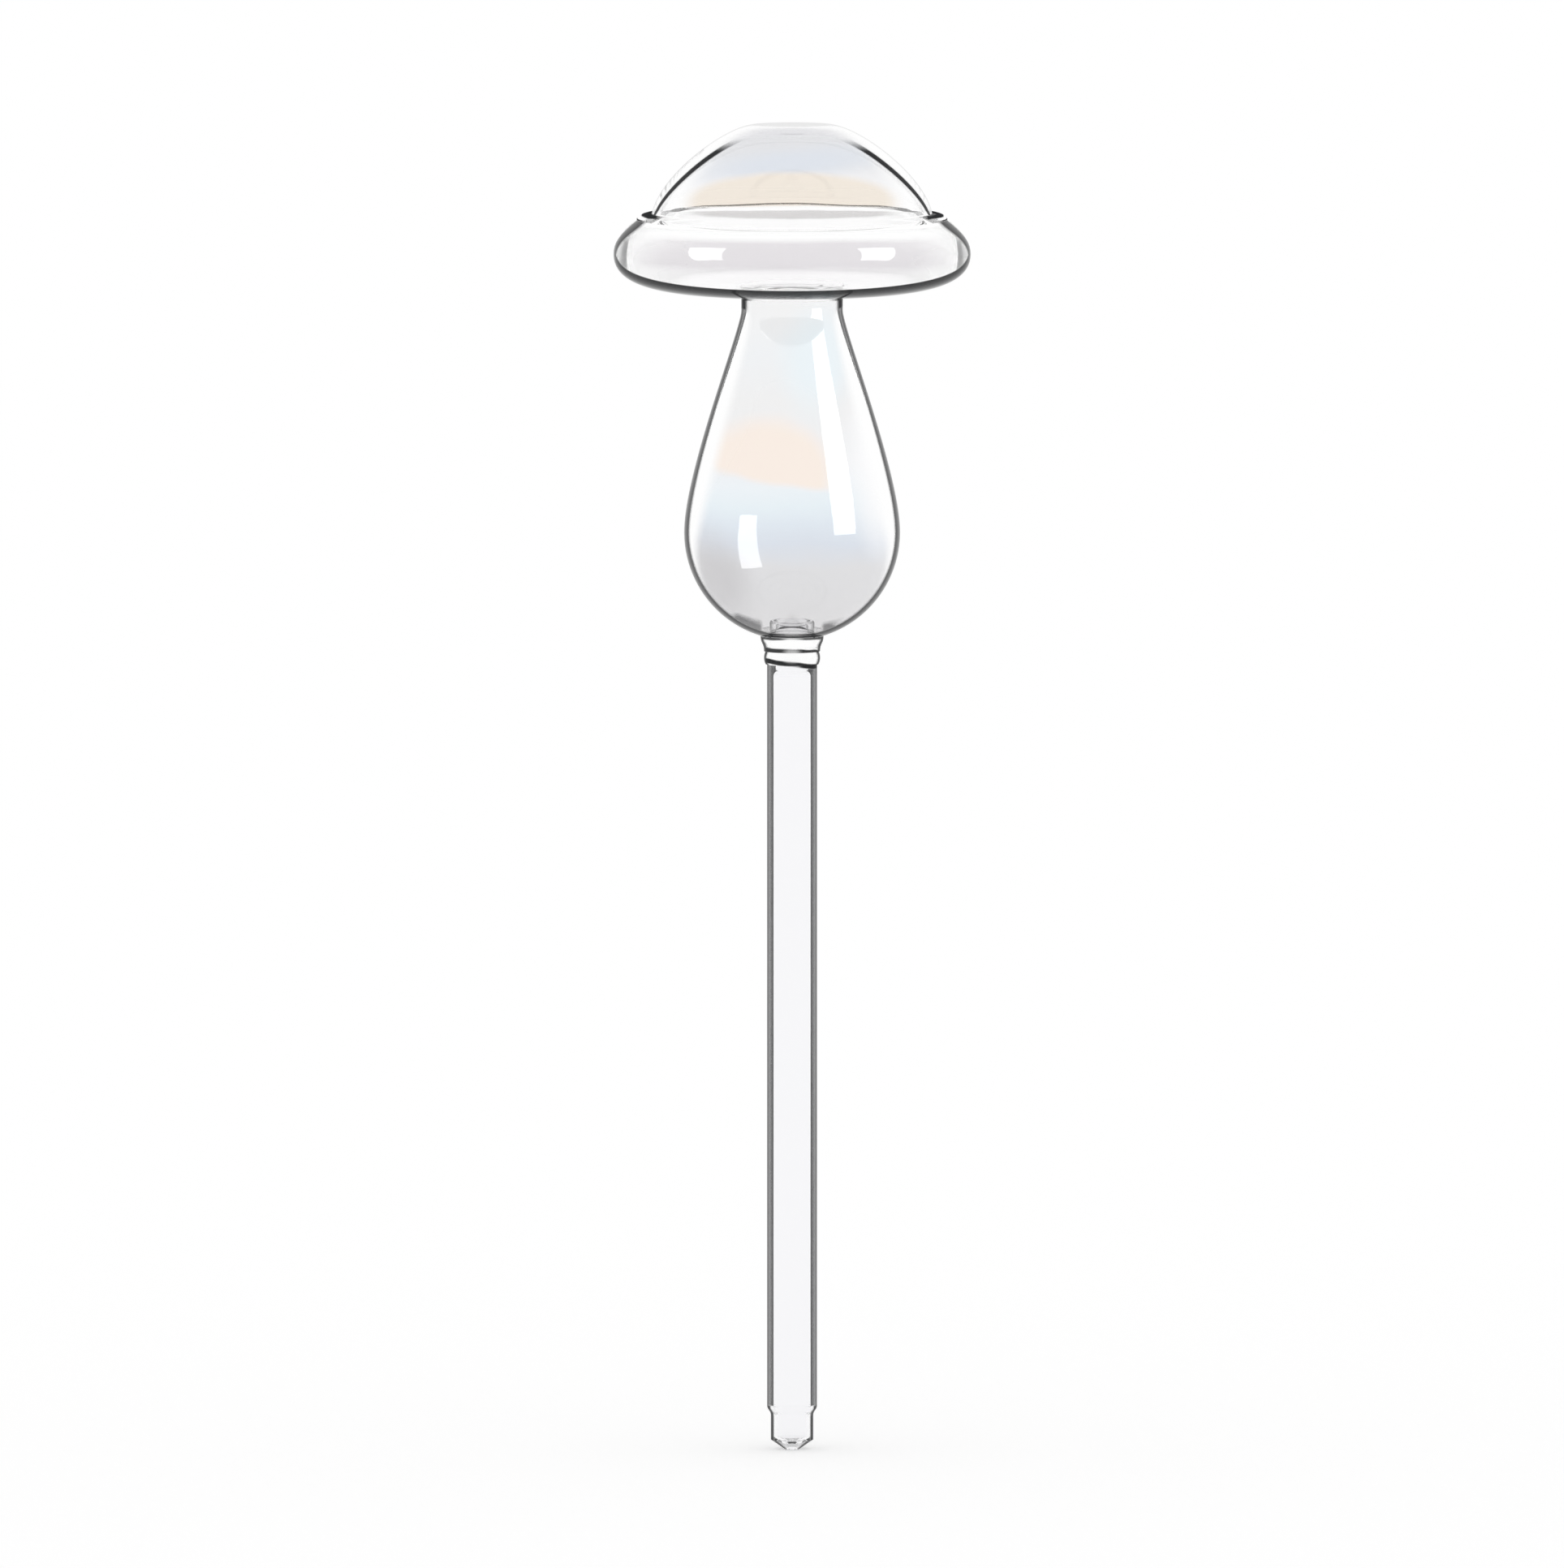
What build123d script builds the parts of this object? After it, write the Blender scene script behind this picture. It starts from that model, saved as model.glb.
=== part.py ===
from build123d import *
import os
from math import sqrt

# Mushroom-shaped glass watering globe. Water goes in through the drip nozzle, fills the spike,
# the stem bulb and the hollow cap, and seeps back out while the spike stands in the soil.
# The glass is blown and drawn in sections, which are sealed to each other in the flame.
# Lengths are millimetres. Z runs up the axis of turning, from the tip of the drip nozzle.

# Drip nozzle, the narrower end of the spike
DRIP_HOLE_DIAMETER = 1.2
DRIP_HOLE_LENGTH = 1.2
NOZZLE_LIP_DIAMETER = 3.0
NOZZLE_CONE_HEIGHT = 1.9
NOZZLE_DIAMETER = 8.5
NOZZLE_WALL = 1.2
NOZZLE_STRAIGHT = 4.8
NOZZLE_SHOULDER = 2.1

# Spike tube, pushed into the soil, with a drawn-in tenon that ends as a lip inside the bulb
SPIKE_DIAMETER = 10.0
SPIKE_WALL = 1.2
SPIKE_LENGTH = 148.0
TENON_DIAMETER = 9.0
TENON_WALL = 1.2
TENON_TAPER = 2.4
TENON_LIP_RISE = 1.6

# Weld bead and collar on the tenon, both a little wider than the spike
BEAD_HEIGHT = 2.6
BEAD_EDGE = 0.3
BEAD_BULGE = 0.6
COLLAR_HEIGHT = 3.1
COLLAR_FOOT = 0.6
COLLAR_FLANGE = 1.3

# Stem bulb, a round foot under a pear-shaped flank
BULB_DIAMETER = 43.0
BULB_WALL = 1.2
BULB_RISE = 44.2
BULB_FLANK_SWELL = 12.0
NECK_DIAMETER = 20.2
NECK_CURVE = 3.6
NECK_HEIGHT = 3.2
NECK_WELD_LEG = 1.0
NECK_WELD_THROAT = 0.36

# Cap brim, a hollow ring with a rounded edge
BRIM_WALL = 1.6
BRIM_EDGE_WALL = 2.6
BRIM_DEPTH = 8.0
BRIM_CURL = 6.6
BRIM_SHOULDER = 6.9
BRIM_SHOULDER_OUT = 1.8
BRIM_SHOULDER_DOWN = 1.6
BRIM_SHOULDER_ROUND = 3.2
BRIM_OVERHANG = 4.65
UNDERSIDE_SWEEP = 14.5

# Cap dome and the bead that seals it to the brim
DOME_DIAMETER = 55.7
DOME_WALL = 1.6
DOME_RISE = 17.6
DOME_FLAT_DIAMETER = 15.0
DOME_CROWN = 5.3
DOME_FLANK_IN = 1.6
DOME_FLANK_UP = 7.8
SEAM_WIDTH = 3.0
SEAM_HEIGHT = 1.2

# Radii that follow from the sizes above
drip_radius = DRIP_HOLE_DIAMETER / 2
nozzle_radius = NOZZLE_DIAMETER / 2
nozzle_bore = nozzle_radius - NOZZLE_WALL
spike_radius = SPIKE_DIAMETER / 2
spike_bore = spike_radius - SPIKE_WALL
tenon_radius = TENON_DIAMETER / 2
tenon_bore = tenon_radius - TENON_WALL
collar_radius = spike_radius + COLLAR_FLANGE
bulb_radius = BULB_DIAMETER / 2
bulb_bore = bulb_radius - BULB_WALL
neck_radius = NECK_DIAMETER / 2
neck_bore = neck_radius - BULB_WALL
weld_radius = neck_radius + NECK_WELD_LEG
dome_radius = DOME_DIAMETER / 2
dome_bore = dome_radius - DOME_WALL
flat_radius = DOME_FLAT_DIAMETER / 2
ledge_radius = dome_radius + SEAM_WIDTH
brim_radius = ledge_radius + BRIM_OVERHANG
brim_bore = brim_radius - BRIM_EDGE_WALL


def drop_to(radius, sphere):
    """How far below its centre a sphere is met by a cylinder on the same axis."""
    return sqrt(sphere**2 - radius**2)


# Levels that follow from the sizes above, from the tip up
straight_level = NOZZLE_CONE_HEIGHT
shoulder_level = straight_level + NOZZLE_STRAIGHT
spike_level = shoulder_level + NOZZLE_SHOULDER
bead_level = spike_level + SPIKE_LENGTH
collar_level = bead_level + BEAD_HEIGHT
bulb_level = collar_level + COLLAR_HEIGHT + drop_to(collar_radius, bulb_radius)
lip_level = bulb_level - drop_to(tenon_radius, bulb_bore) + TENON_LIP_RISE
neck_level = bulb_level + BULB_RISE
underside_level = neck_level + NECK_HEIGHT
brim_floor_level = underside_level + BRIM_WALL
rim_level = underside_level + BRIM_DEPTH
ledge_level = rim_level + BRIM_SHOULDER
ledge_under_level = ledge_level - BRIM_WALL
dome_foot_level = ledge_level + SEAM_HEIGHT
dome_top_level = dome_foot_level + DOME_RISE

# Control point distance that makes one cubic follow a quarter of an ellipse
QUARTER = 4 * (sqrt(2) - 1) / 3


def at(radius, level):
    """A point of an outline, at a radius from the axis and a level on it."""
    return Vector(radius, 0, level)


def path(*points):
    """Straight edges from each point of an outline to the next."""
    return [Line(start, end) for start, end in zip(points, points[1:])]


def quarter(start, corner, end):
    """A quarter of an ellipse from start to end, inside the corner of its box."""
    return Bezier(start, start + (corner - start) * QUARTER, end + (corner - end) * QUARTER, end)


def upright_sweep(low, high):
    """A curve between two radii that leaves both ends straight up, as drawn glass does."""
    half = Vector(0, 0, (high.Z - low.Z) / 2)
    return Bezier(low, low + half, high - half, high)


def turned(edges):
    """The solid that a closed outline makes when it is turned about the Z axis."""
    return revolve(make_face(edges), axis=Axis.Z)


def make_drip_nozzle():
    """Nozzle with a coned end round the drip hole, and a shoulder up to the spike's width."""
    hole_foot = at(drip_radius, 0)
    hole_top = at(drip_radius, DRIP_HOLE_LENGTH)
    cone_inside = at(nozzle_bore, straight_level + NOZZLE_WALL / 2)
    bore_top = at(nozzle_bore, shoulder_level)
    spike_inside = at(spike_bore, spike_level)
    spike_outside = at(spike_radius, spike_level)
    shoulder = at(nozzle_radius, shoulder_level)
    cone = at(nozzle_radius, straight_level)
    lip = at(NOZZLE_LIP_DIAMETER / 2, 0)
    return turned(
        path(hole_foot, hole_top, cone_inside, bore_top)
        + [upright_sweep(bore_top, spike_inside)]
        + path(spike_inside, spike_outside)
        + [upright_sweep(shoulder, spike_outside)]
        + path(shoulder, cone, lip, hole_foot)
    )


def make_spike_tube():
    """Drawn tube, stepped in to a tenon whose upper end is fire-polished."""
    lip_inside = at(tenon_bore, lip_level)
    lip_outside = at(tenon_radius, lip_level)
    lip_top = at(tenon_radius - TENON_WALL / 2, lip_level + TENON_WALL / 2)
    taper_top = at(tenon_bore, bead_level)
    taper_foot = at(spike_bore, bead_level - TENON_TAPER)
    return turned(
        path(lip_inside, taper_top)
        + [upright_sweep(taper_foot, taper_top)]
        + path(
            taper_foot,
            at(spike_bore, spike_level),
            at(spike_radius, spike_level),
            at(spike_radius, bead_level),
            at(tenon_radius, bead_level),
            lip_outside,
        )
        + [ThreePointArc(lip_outside, lip_top, lip_inside)]
    )


def make_weld_bead():
    """Rounded ring of glass that seals the shoulder of the spike under the collar."""
    low = at(spike_radius + BEAD_EDGE, bead_level)
    high = at(spike_radius + BEAD_EDGE, collar_level)
    belly = at(spike_radius + BEAD_BULGE, bead_level + BEAD_HEIGHT / 2)
    return turned(
        path(high, at(tenon_radius, collar_level), at(tenon_radius, bead_level), low)
        + [ThreePointArc(low, belly, high)]
    )


def make_neck_collar():
    """Tapered ring on the tenon that carries the bulb and follows its round foot."""
    foot = at(spike_radius + COLLAR_FOOT, collar_level)
    flange = at(collar_radius, collar_level + COLLAR_HEIGHT)
    throat = at(tenon_radius, bulb_level - drop_to(tenon_radius, bulb_radius))
    seat_radius = (tenon_radius + collar_radius) / 2
    seat = at(seat_radius, bulb_level - drop_to(seat_radius, bulb_radius))
    return turned(
        path(throat, at(tenon_radius, collar_level), foot)
        + [upright_sweep(foot, flange), ThreePointArc(flange, seat, throat)]
    )


def bulb_flank(width, top):
    """The pear-shaped side of the bulb, from its widest level up to the neck."""
    belly = at(width, bulb_level)
    neck = at(top, neck_level)
    swell = Vector(0, 0, BULB_FLANK_SWELL)
    curve = Vector(0, 0, NECK_CURVE)
    return Bezier(belly, belly + swell, neck - curve, neck)


def bulb_foot(sphere):
    """The round foot of the bulb, from its widest level down to the hole for the tenon."""
    middle = sphere / sqrt(2)
    return ThreePointArc(
        at(sphere, bulb_level),
        at(middle, bulb_level - middle),
        at(tenon_radius, bulb_level - drop_to(tenon_radius, sphere)),
    )


def make_stem_bulb():
    """Pear-shaped reservoir, open at its neck and holed at its foot for the tenon."""
    outer_foot = bulb_foot(bulb_radius)
    inner_foot = bulb_foot(bulb_bore)
    return turned(
        [bulb_flank(bulb_radius, neck_radius), outer_foot, inner_foot, bulb_flank(bulb_bore, neck_bore)]
        + path(outer_foot @ 1, inner_foot @ 1)
        + path(
            at(neck_radius, neck_level),
            at(neck_radius, brim_floor_level),
            at(neck_bore, brim_floor_level),
            at(neck_bore, neck_level),
        )
    )


def make_neck_weld():
    """Hollow-faced ring of glass in the corner between the neck and the underside of the brim."""
    corner = at(neck_radius, underside_level)
    on_brim = at(weld_radius, underside_level)
    on_neck = at(neck_radius, underside_level - NECK_WELD_LEG)
    throat = at(neck_radius + NECK_WELD_THROAT, underside_level - NECK_WELD_THROAT)
    return turned(path(on_neck, corner, on_brim) + [ThreePointArc(on_brim, throat, on_neck)])


def underside(edge, level):
    """The bowed underside of the brim, from its edge in to the neck weld."""
    rim = at(edge, rim_level)
    inner = at(weld_radius, level)
    curl = Vector(0, 0, BRIM_CURL * (rim_level - level) / BRIM_DEPTH)
    sweep = Vector(UNDERSIDE_SWEEP, 0, 0)
    return Bezier(rim, rim - curl, inner + sweep, inner)


def make_cap_brim():
    """Hollow brim with a ledge for the dome and a hole for the neck."""
    ledge_end = at(ledge_radius, ledge_level)
    ledge_under = at(ledge_radius, ledge_under_level)
    slope = Vector(BRIM_SHOULDER_OUT, 0, -BRIM_SHOULDER_DOWN)
    rim = at(brim_radius, rim_level)
    roundness = Vector(0, 0, BRIM_SHOULDER_ROUND)
    rim_inside = at(brim_bore, rim_level)
    return turned(
        [Bezier(ledge_end, ledge_end + slope, rim + roundness, rim), underside(brim_radius, underside_level)]
        + path(
            at(weld_radius, underside_level),
            at(neck_radius, underside_level),
            at(neck_radius, brim_floor_level),
            at(weld_radius, brim_floor_level),
        )
        + [underside(brim_bore, brim_floor_level)]
        + [quarter(rim_inside, at(brim_bore, ledge_under_level), ledge_under)]
        + path(ledge_under, at(dome_bore, ledge_under_level), at(dome_bore, ledge_level), ledge_end)
    )


def make_cap_seam():
    """Rounded bead that seals the foot of the dome to the ledge of the brim."""
    corner = at(dome_radius, ledge_level)
    low = at(ledge_radius, ledge_level)
    high = at(dome_radius, dome_foot_level)
    bulge = at(ledge_radius, dome_foot_level)
    return turned(path(high, corner, low) + [quarter(low, bulge, high)])


def dome_side(width, top):
    """The dome's curve from the flat of its crown down to its upright foot."""
    crown = at(flat_radius, top)
    foot = at(width, dome_foot_level)
    flank = Vector(-DOME_FLANK_IN, 0, DOME_FLANK_UP)
    return Bezier(crown, crown + Vector(DOME_CROWN, 0, 0), foot + flank, foot)


def make_cap_dome():
    """Blown crown of the cap, closed at the top and open to the brim."""
    crown_inside = dome_top_level - DOME_WALL
    return turned(
        [dome_side(dome_radius, dome_top_level), dome_side(dome_bore, crown_inside)]
        + path(
            at(dome_radius, dome_foot_level),
            at(dome_radius, ledge_level),
            at(dome_bore, ledge_level),
            at(dome_bore, dome_foot_level),
        )
        + path(
            at(flat_radius, crown_inside),
            at(0, crown_inside),
            at(0, dome_top_level),
            at(flat_radius, dome_top_level),
        )
    )


PIECES = {
    "drip_nozzle": make_drip_nozzle,
    "spike_tube": make_spike_tube,
    "weld_bead": make_weld_bead,
    "neck_collar": make_neck_collar,
    "stem_bulb": make_stem_bulb,
    "neck_weld": make_neck_weld,
    "cap_brim": make_cap_brim,
    "cap_seam": make_cap_seam,
    "cap_dome": make_cap_dome,
}

os.makedirs("parts", exist_ok=True)
for name, make in PIECES.items():
    piece = make()
    piece.label = name
    export_step(piece, f"parts/{name}.step")
print(f"height {dome_top_level:.2f} mm, cap {2 * brim_radius:.2f} mm across")
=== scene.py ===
"""Looks of a mushroom-shaped watering globe: nine pieces of clear blown glass in a pale studio.

Outlines are millimetres, as (radius, level) pairs in a half plane that ends at the axis of turning.
Meshes, lights and the camera are metres. The camera looks along +Y.
"""

import logging
from collections.abc import Mapping, Sequence
from dataclasses import dataclass, field
from enum import Enum
from math import acos, asin, ceil, cos, dist, pi, radians, sin, sqrt, tan

import bpy
from bpy.types import Material, Node, NodeSocket, NodeTree, Object, World
from mathutils import Matrix, Vector


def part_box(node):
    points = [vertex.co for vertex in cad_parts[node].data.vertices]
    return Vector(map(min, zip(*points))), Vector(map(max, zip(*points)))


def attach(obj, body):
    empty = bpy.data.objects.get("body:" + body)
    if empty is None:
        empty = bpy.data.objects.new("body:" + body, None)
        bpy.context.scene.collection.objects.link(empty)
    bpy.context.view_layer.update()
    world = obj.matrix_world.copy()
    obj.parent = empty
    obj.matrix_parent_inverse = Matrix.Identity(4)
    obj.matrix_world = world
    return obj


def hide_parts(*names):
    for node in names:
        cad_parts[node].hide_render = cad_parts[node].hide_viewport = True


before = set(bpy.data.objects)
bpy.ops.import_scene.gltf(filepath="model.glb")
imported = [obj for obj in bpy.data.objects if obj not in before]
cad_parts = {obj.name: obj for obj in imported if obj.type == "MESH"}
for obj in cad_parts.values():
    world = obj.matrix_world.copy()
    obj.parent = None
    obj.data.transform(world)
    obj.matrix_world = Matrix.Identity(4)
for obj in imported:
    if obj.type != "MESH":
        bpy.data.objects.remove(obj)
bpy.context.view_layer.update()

log = logging.getLogger("watering_globe")

MM = 0.001
"""One millimetre in Blender's metres."""

BODY = "root"
"""The one rigid body that every piece rides on."""

"""Where the boxes of both models are written."""

INNER_SKIN = "inner_skin"
"""Point attribute that is 1 on the inside of a wall and 0 on the outside."""

FUSED_FACE = "fused_face"
"""Point attribute that is 1 where a section is fused to another."""

GLASS_IOR = 1.47
"""Refractive index of borosilicate glass."""

SEAL_GAP = 0.03
"""Hair gap between two sealed sections, so that no two faces share a place."""

TENON_RADIUS = 4.5
"""Radius of the tube's drawn-in end, which goes through bead, collar and bulb."""

NECK_RADIUS = 10.1
"""Radius of the bulb's neck, which goes through the brim's floor."""

POINT_PITCH = 1.2
"""Spacing of an outline's points along straight runs and curves."""

SAME_PLACE = 1e-6
"""Points of an outline that are closer than this are one point."""

MERGE_REACH = 1e-7
"""Points of a mesh that are closer than this, in metres, are one point."""

STRAIGHT_STEPS = 2
"""Fewest steps along a straight run of an outline."""

CURVE_STEPS = 12
"""Fewest steps along a curve of an outline."""

NARROW_STEPS = 128
"""Steps round a narrow piece, which needs fewer than a wide one."""

WHOLLY = 0.99
"""A face is fused if this share of its points is."""

NOISE_MIDDLE = 0.5
"""The middle of a noise's range."""

LINING_SEED = 7.3
"""Step from the seed of a wall's sway to the seed of its lining."""

MIX_SHARE, MIX_FROM, MIX_TO, MIXED = 0, 6, 7, 2
"""Where a Mix node of colours has its factor, its two colours and its result."""

Point = tuple[float, float]
Stops = list[tuple[float, tuple[float, ...]]]


class Skin(Enum):
    """What a run of an outline is: the outside of a wall, its inside, or a face fused to another section."""

    OUTER = "outer"
    INNER = "inner"
    FUSED = "fused"


class Slot(Enum):
    """The record's material slots."""

    LUSTRE = "lustre_glass"
    CLEAR = "clear_glass"
    WELD = "weld_glass"


def linear(code: str) -> tuple[float, float, float, float]:
    """Turn an sRGB hex colour into linear RGBA.

    Args:
        code: Six hex digits.

    Returns:
        The linear colour with full alpha.
    """
    shares = (int(code[i : i + 2], 16) / 255 for i in (0, 2, 4))
    red, green, blue = (s / 12.92 if s <= 0.04045 else ((s + 0.055) / 1.055) ** 2.4 for s in shares)
    return red, green, blue, 1.0


def add_node(
    tree: NodeTree,
    kind: str,
    inputs: Mapping[str | int, object] | None = None,
    stops: Sequence[tuple[float, Sequence[float]]] = (),
    **settings: object,
) -> Node:
    """Add a node with its settings, and set or link its inputs.

    Args:
        tree: The tree that gets the node.
        kind: The node's type name.
        inputs: By name or index, a value, another node's output, or a node for its first output.
        stops: Places and colours of a colour ramp, from left to right.
        settings: The node's own properties.

    Returns:
        The new node.
    """
    node = tree.nodes.new(kind)
    for name, value in settings.items():
        setattr(node, name, value)
    for key, value in (inputs or {}).items():
        if isinstance(value, Node):
            value = value.outputs[0]
        if isinstance(value, NodeSocket):
            tree.links.new(value, node.inputs[key])
        else:
            node.inputs[key].default_value = value
    if stops:
        elements = node.color_ramp.elements
        ready = len(elements)
        for index, (place, colour) in enumerate(stops):
            stop = elements[index] if index < ready else elements.new(place)
            stop.position = place
            stop.color = colour
    return node


def bare_tree(owner: Material | World) -> NodeTree:
    """Give a material or a world a node tree with nothing in it."""
    owner.use_nodes = True
    owner.node_tree.nodes.clear()
    return owner.node_tree


def grey_stops(*shades: tuple[float, float]) -> Stops:
    """Turn places and shades into the stops of a grey colour ramp."""
    return [(place, (shade, shade, shade, 1.0)) for place, shade in shades]


@dataclass
class Outline:
    """The outline of a turned piece, walked once round, with what each of its points lies on."""

    points: list[Point] = field(default_factory=list)
    inner: list[float] = field(default_factory=list)
    fused: list[float] = field(default_factory=list)

    def add(self, points: Sequence[Point], skin: Skin) -> "Outline":
        """Append points, leaving out the first if the outline already ends there.

        Args:
            points: The points of the next run.
            skin: What the run is.

        Returns:
            The outline itself, so that runs can be chained.
        """
        fused = float(skin is Skin.FUSED)
        if self.points and dist(self.points[-1], points[0]) < SAME_PLACE:
            points = points[1:]
            self.fused[-1] = max(self.fused[-1], fused)
        self.points.extend(points)
        self.inner.extend([float(skin is Skin.INNER)] * len(points))
        self.fused.extend([fused] * len(points))
        return self

    def close(self) -> None:
        """Drop the last point where the outline comes back to its first one."""
        if dist(self.points[0], self.points[-1]) < SAME_PLACE:
            self.points.pop()
            self.inner.pop()
            self.fused[0] = max(self.fused[0], self.fused.pop())

    def line(self, *corners: Point, skin: Skin = Skin.OUTER) -> "Outline":
        """Append straight runs from corner to corner.

        Args:
            corners: The corners in order.
            skin: The skin that the runs lie on.

        Returns:
            The outline itself.
        """
        for start, end in zip(corners, corners[1:]):
            count = max(STRAIGHT_STEPS, ceil(dist(start, end) / POINT_PITCH))
            shares = [i / count for i in range(count + 1)]
            self.add([tuple(a + (b - a) * t for a, b in zip(start, end)) for t in shares], skin)
        return self

    def cubic(
        self, start: Point, leave: Point, arrive: Point, end: Point, skin: Skin = Skin.OUTER
    ) -> "Outline":
        """Append a cubic curve.

        Args:
            start: Where the curve starts.
            leave: Its first control point.
            arrive: Its second control point.
            end: Where the curve ends.
            skin: The skin that the curve lies on.

        Returns:
            The outline itself.
        """
        length = dist(start, leave) + dist(leave, arrive) + dist(arrive, end)
        count = max(CURVE_STEPS, ceil(length / POINT_PITCH))
        points = []
        for i in range(count + 1):
            t = i / count
            weights = ((1 - t) ** 3, 3 * t * (1 - t) ** 2, 3 * t**2 * (1 - t), t**3)
            pairs = list(zip(weights, (start, leave, arrive, end)))
            points.append((sum(w * p[0] for w, p in pairs), sum(w * p[1] for w, p in pairs)))
        return self.add(points, skin)

    def upright_sweep(self, start: Point, end: Point, skin: Skin = Skin.OUTER) -> "Outline":
        """Append a curve between two radii that leaves both ends straight up, as drawn glass does.

        Args:
            start: Where the curve starts.
            end: Where the curve ends.
            skin: The skin that the curve lies on.

        Returns:
            The outline itself.
        """
        middle = (start[1] + end[1]) / 2
        return self.cubic(start, (start[0], middle), (end[0], middle), end, skin)

    def quarter(self, start: Point, corner: Point, end: Point, skin: Skin = Skin.OUTER) -> "Outline":
        """Append a quarter of an ellipse.

        Args:
            start: Where the quarter starts.
            corner: The corner of its box that the quarter bulges towards.
            end: Where the quarter ends.
            skin: The skin that the quarter lies on.

        Returns:
            The outline itself.
        """
        reach = 4 * (sqrt(2) - 1) / 3
        leave = tuple(s + (c - s) * reach for s, c in zip(start, corner))
        arrive = tuple(e + (c - e) * reach for e, c in zip(end, corner))
        return self.cubic(start, leave, arrive, end, skin)

    def arc(
        self, centre: Point, radius: float, start: float, end: float, skin: Skin = Skin.OUTER
    ) -> "Outline":
        """Append part of a circle.

        Args:
            centre: The centre of the circle.
            radius: Its radius.
            start: Angle of the first point from the outward direction, in radians.
            end: Angle of the last point.
            skin: The skin that the arc lies on.

        Returns:
            The outline itself.
        """
        count = max(CURVE_STEPS, ceil(abs(end - start) * radius / POINT_PITCH))
        turns = [start + (end - start) * i / count for i in range(count + 1)]
        return self.add([(centre[0] + radius * cos(a), centre[1] + radius * sin(a)) for a in turns], skin)


@dataclass(frozen=True)
class EdgeShade:
    """Painted shade of clear glass where it is seen edge on, as shares from 0, clear, to 1, dark.

    Sight that meets the inner skin past the critical angle never reaches the hollow. In a studio it turns
    off to the dark room beside the backdrop, which draws the dark outline of clear glass on white; here that
    outline is painted into the glass's colour, by how far the skin is turned from the eye. Skin that faces
    up turns sight to the lit ceiling instead, so the painted shade clears from one upward share of its
    normal to another. A stroke is such a painted line on the outer skin. By their lean, rim and stroke lie
    further in where the skin faces up, or down if it is below zero. Lines and strokes are fully dark over
    their core, a share of their width.
    """

    rim: float
    rim_from: float
    rim_to: float
    rim_lit: tuple[float, float] = (0.84, 0.94)
    rim_lean: float = 0.0
    wall: float = 0.0
    wall_lit: tuple[float, float] = (0.84, 0.94)
    line: float = 0.0
    line_past: float = 0.0
    line_width: float = 0.012
    line_core: float = 0.7
    stroke: float = 0.0
    stroke_at: float = 0.7
    stroke_width: float = 0.03
    stroke_core: float = 0.6
    stroke_lit: tuple[float, float] = (0.8, 0.88)
    stroke_lean: float = 0.0

    def inside_stops(self) -> Stops:
        """Stops of the shade on the inner skin, by how far it is turned from the eye."""
        middle = 1 - cos(asin(1 / GLASS_IOR)) + self.line_past
        core = self.line_core * self.line_width
        return grey_stops(
            (0.0, 0.0),
            (middle - self.line_width, 0.0),
            (middle - core, self.line),
            (middle + core, self.line),
            (middle + self.line_width, self.wall),
        )

    def outside_stops(self) -> Stops:
        """Stops of the shade on the outer skin, by how far it is turned from the eye."""
        return grey_stops((0.0, 0.0), (self.rim_from, 0.0), (self.rim_to, self.rim))

    def stroke_stops(self) -> Stops:
        """Stops of the stroke on the outer skin, by how far it is turned from the eye."""
        core = self.stroke_core * self.stroke_width
        return grey_stops(
            (self.stroke_at - self.stroke_width, 0.0),
            (self.stroke_at - core, self.stroke),
            (self.stroke_at + core, self.stroke),
            (self.stroke_at + self.stroke_width, 0.0),
        )


@dataclass(frozen=True)
class Cloud:
    """A soft patch of one colour in a fumed film, in millimetres and degrees; a grey one is painted shade.

    It has a middle across and up, a reach both ways and a lean down to the right. Its edge fades over a share
    of the reach, and it may be cut off straight at its foot, which is a share of the reach above the middle.
    With a reach below zero it hangs upside down.
    """

    colour: str
    across: float
    level: float
    wide: float
    high: float
    soft: float
    lean: float = 0.0
    foot: float | None = None


@dataclass(frozen=True)
class FilmAndShade:
    """Faint bands of colour in a fumed film, from the lowest level up, with clouds over them, in millimetres.

    The bands bow down at the sides by bow, and all edges waver by warp, in patches of patch. The film fades
    out between two turns from the eye, later by crown where it faces up. Its greys are partly painted shade.
    """

    bands: tuple[tuple[float, str], ...]
    warp: float
    patch: float
    fade_from: float
    fade_to: float
    clouds: tuple[Cloud, ...] = ()
    bow: float = 0.0
    crown: float = 0.0


@dataclass(frozen=True)
class PaintedShadeRing:
    """A dark, uneven ring of painted shade, at flame seals' grooves and where thick glass is seen edge on.

    It lies at a level, in millimetres, and leans by slope. It shows where the skin is turned from the eye by
    more than turned, and fades in over turn_in to either side of that. It shows only further than beside from
    the axis, at its two sides, and fades in over beside_in.
    """

    level: float
    width: float
    shade: float
    slope: float = 0.0
    turned: float = 0.0
    turn_in: float = 0.1
    beside: float = 0.0
    beside_in: float = 1.0


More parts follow.
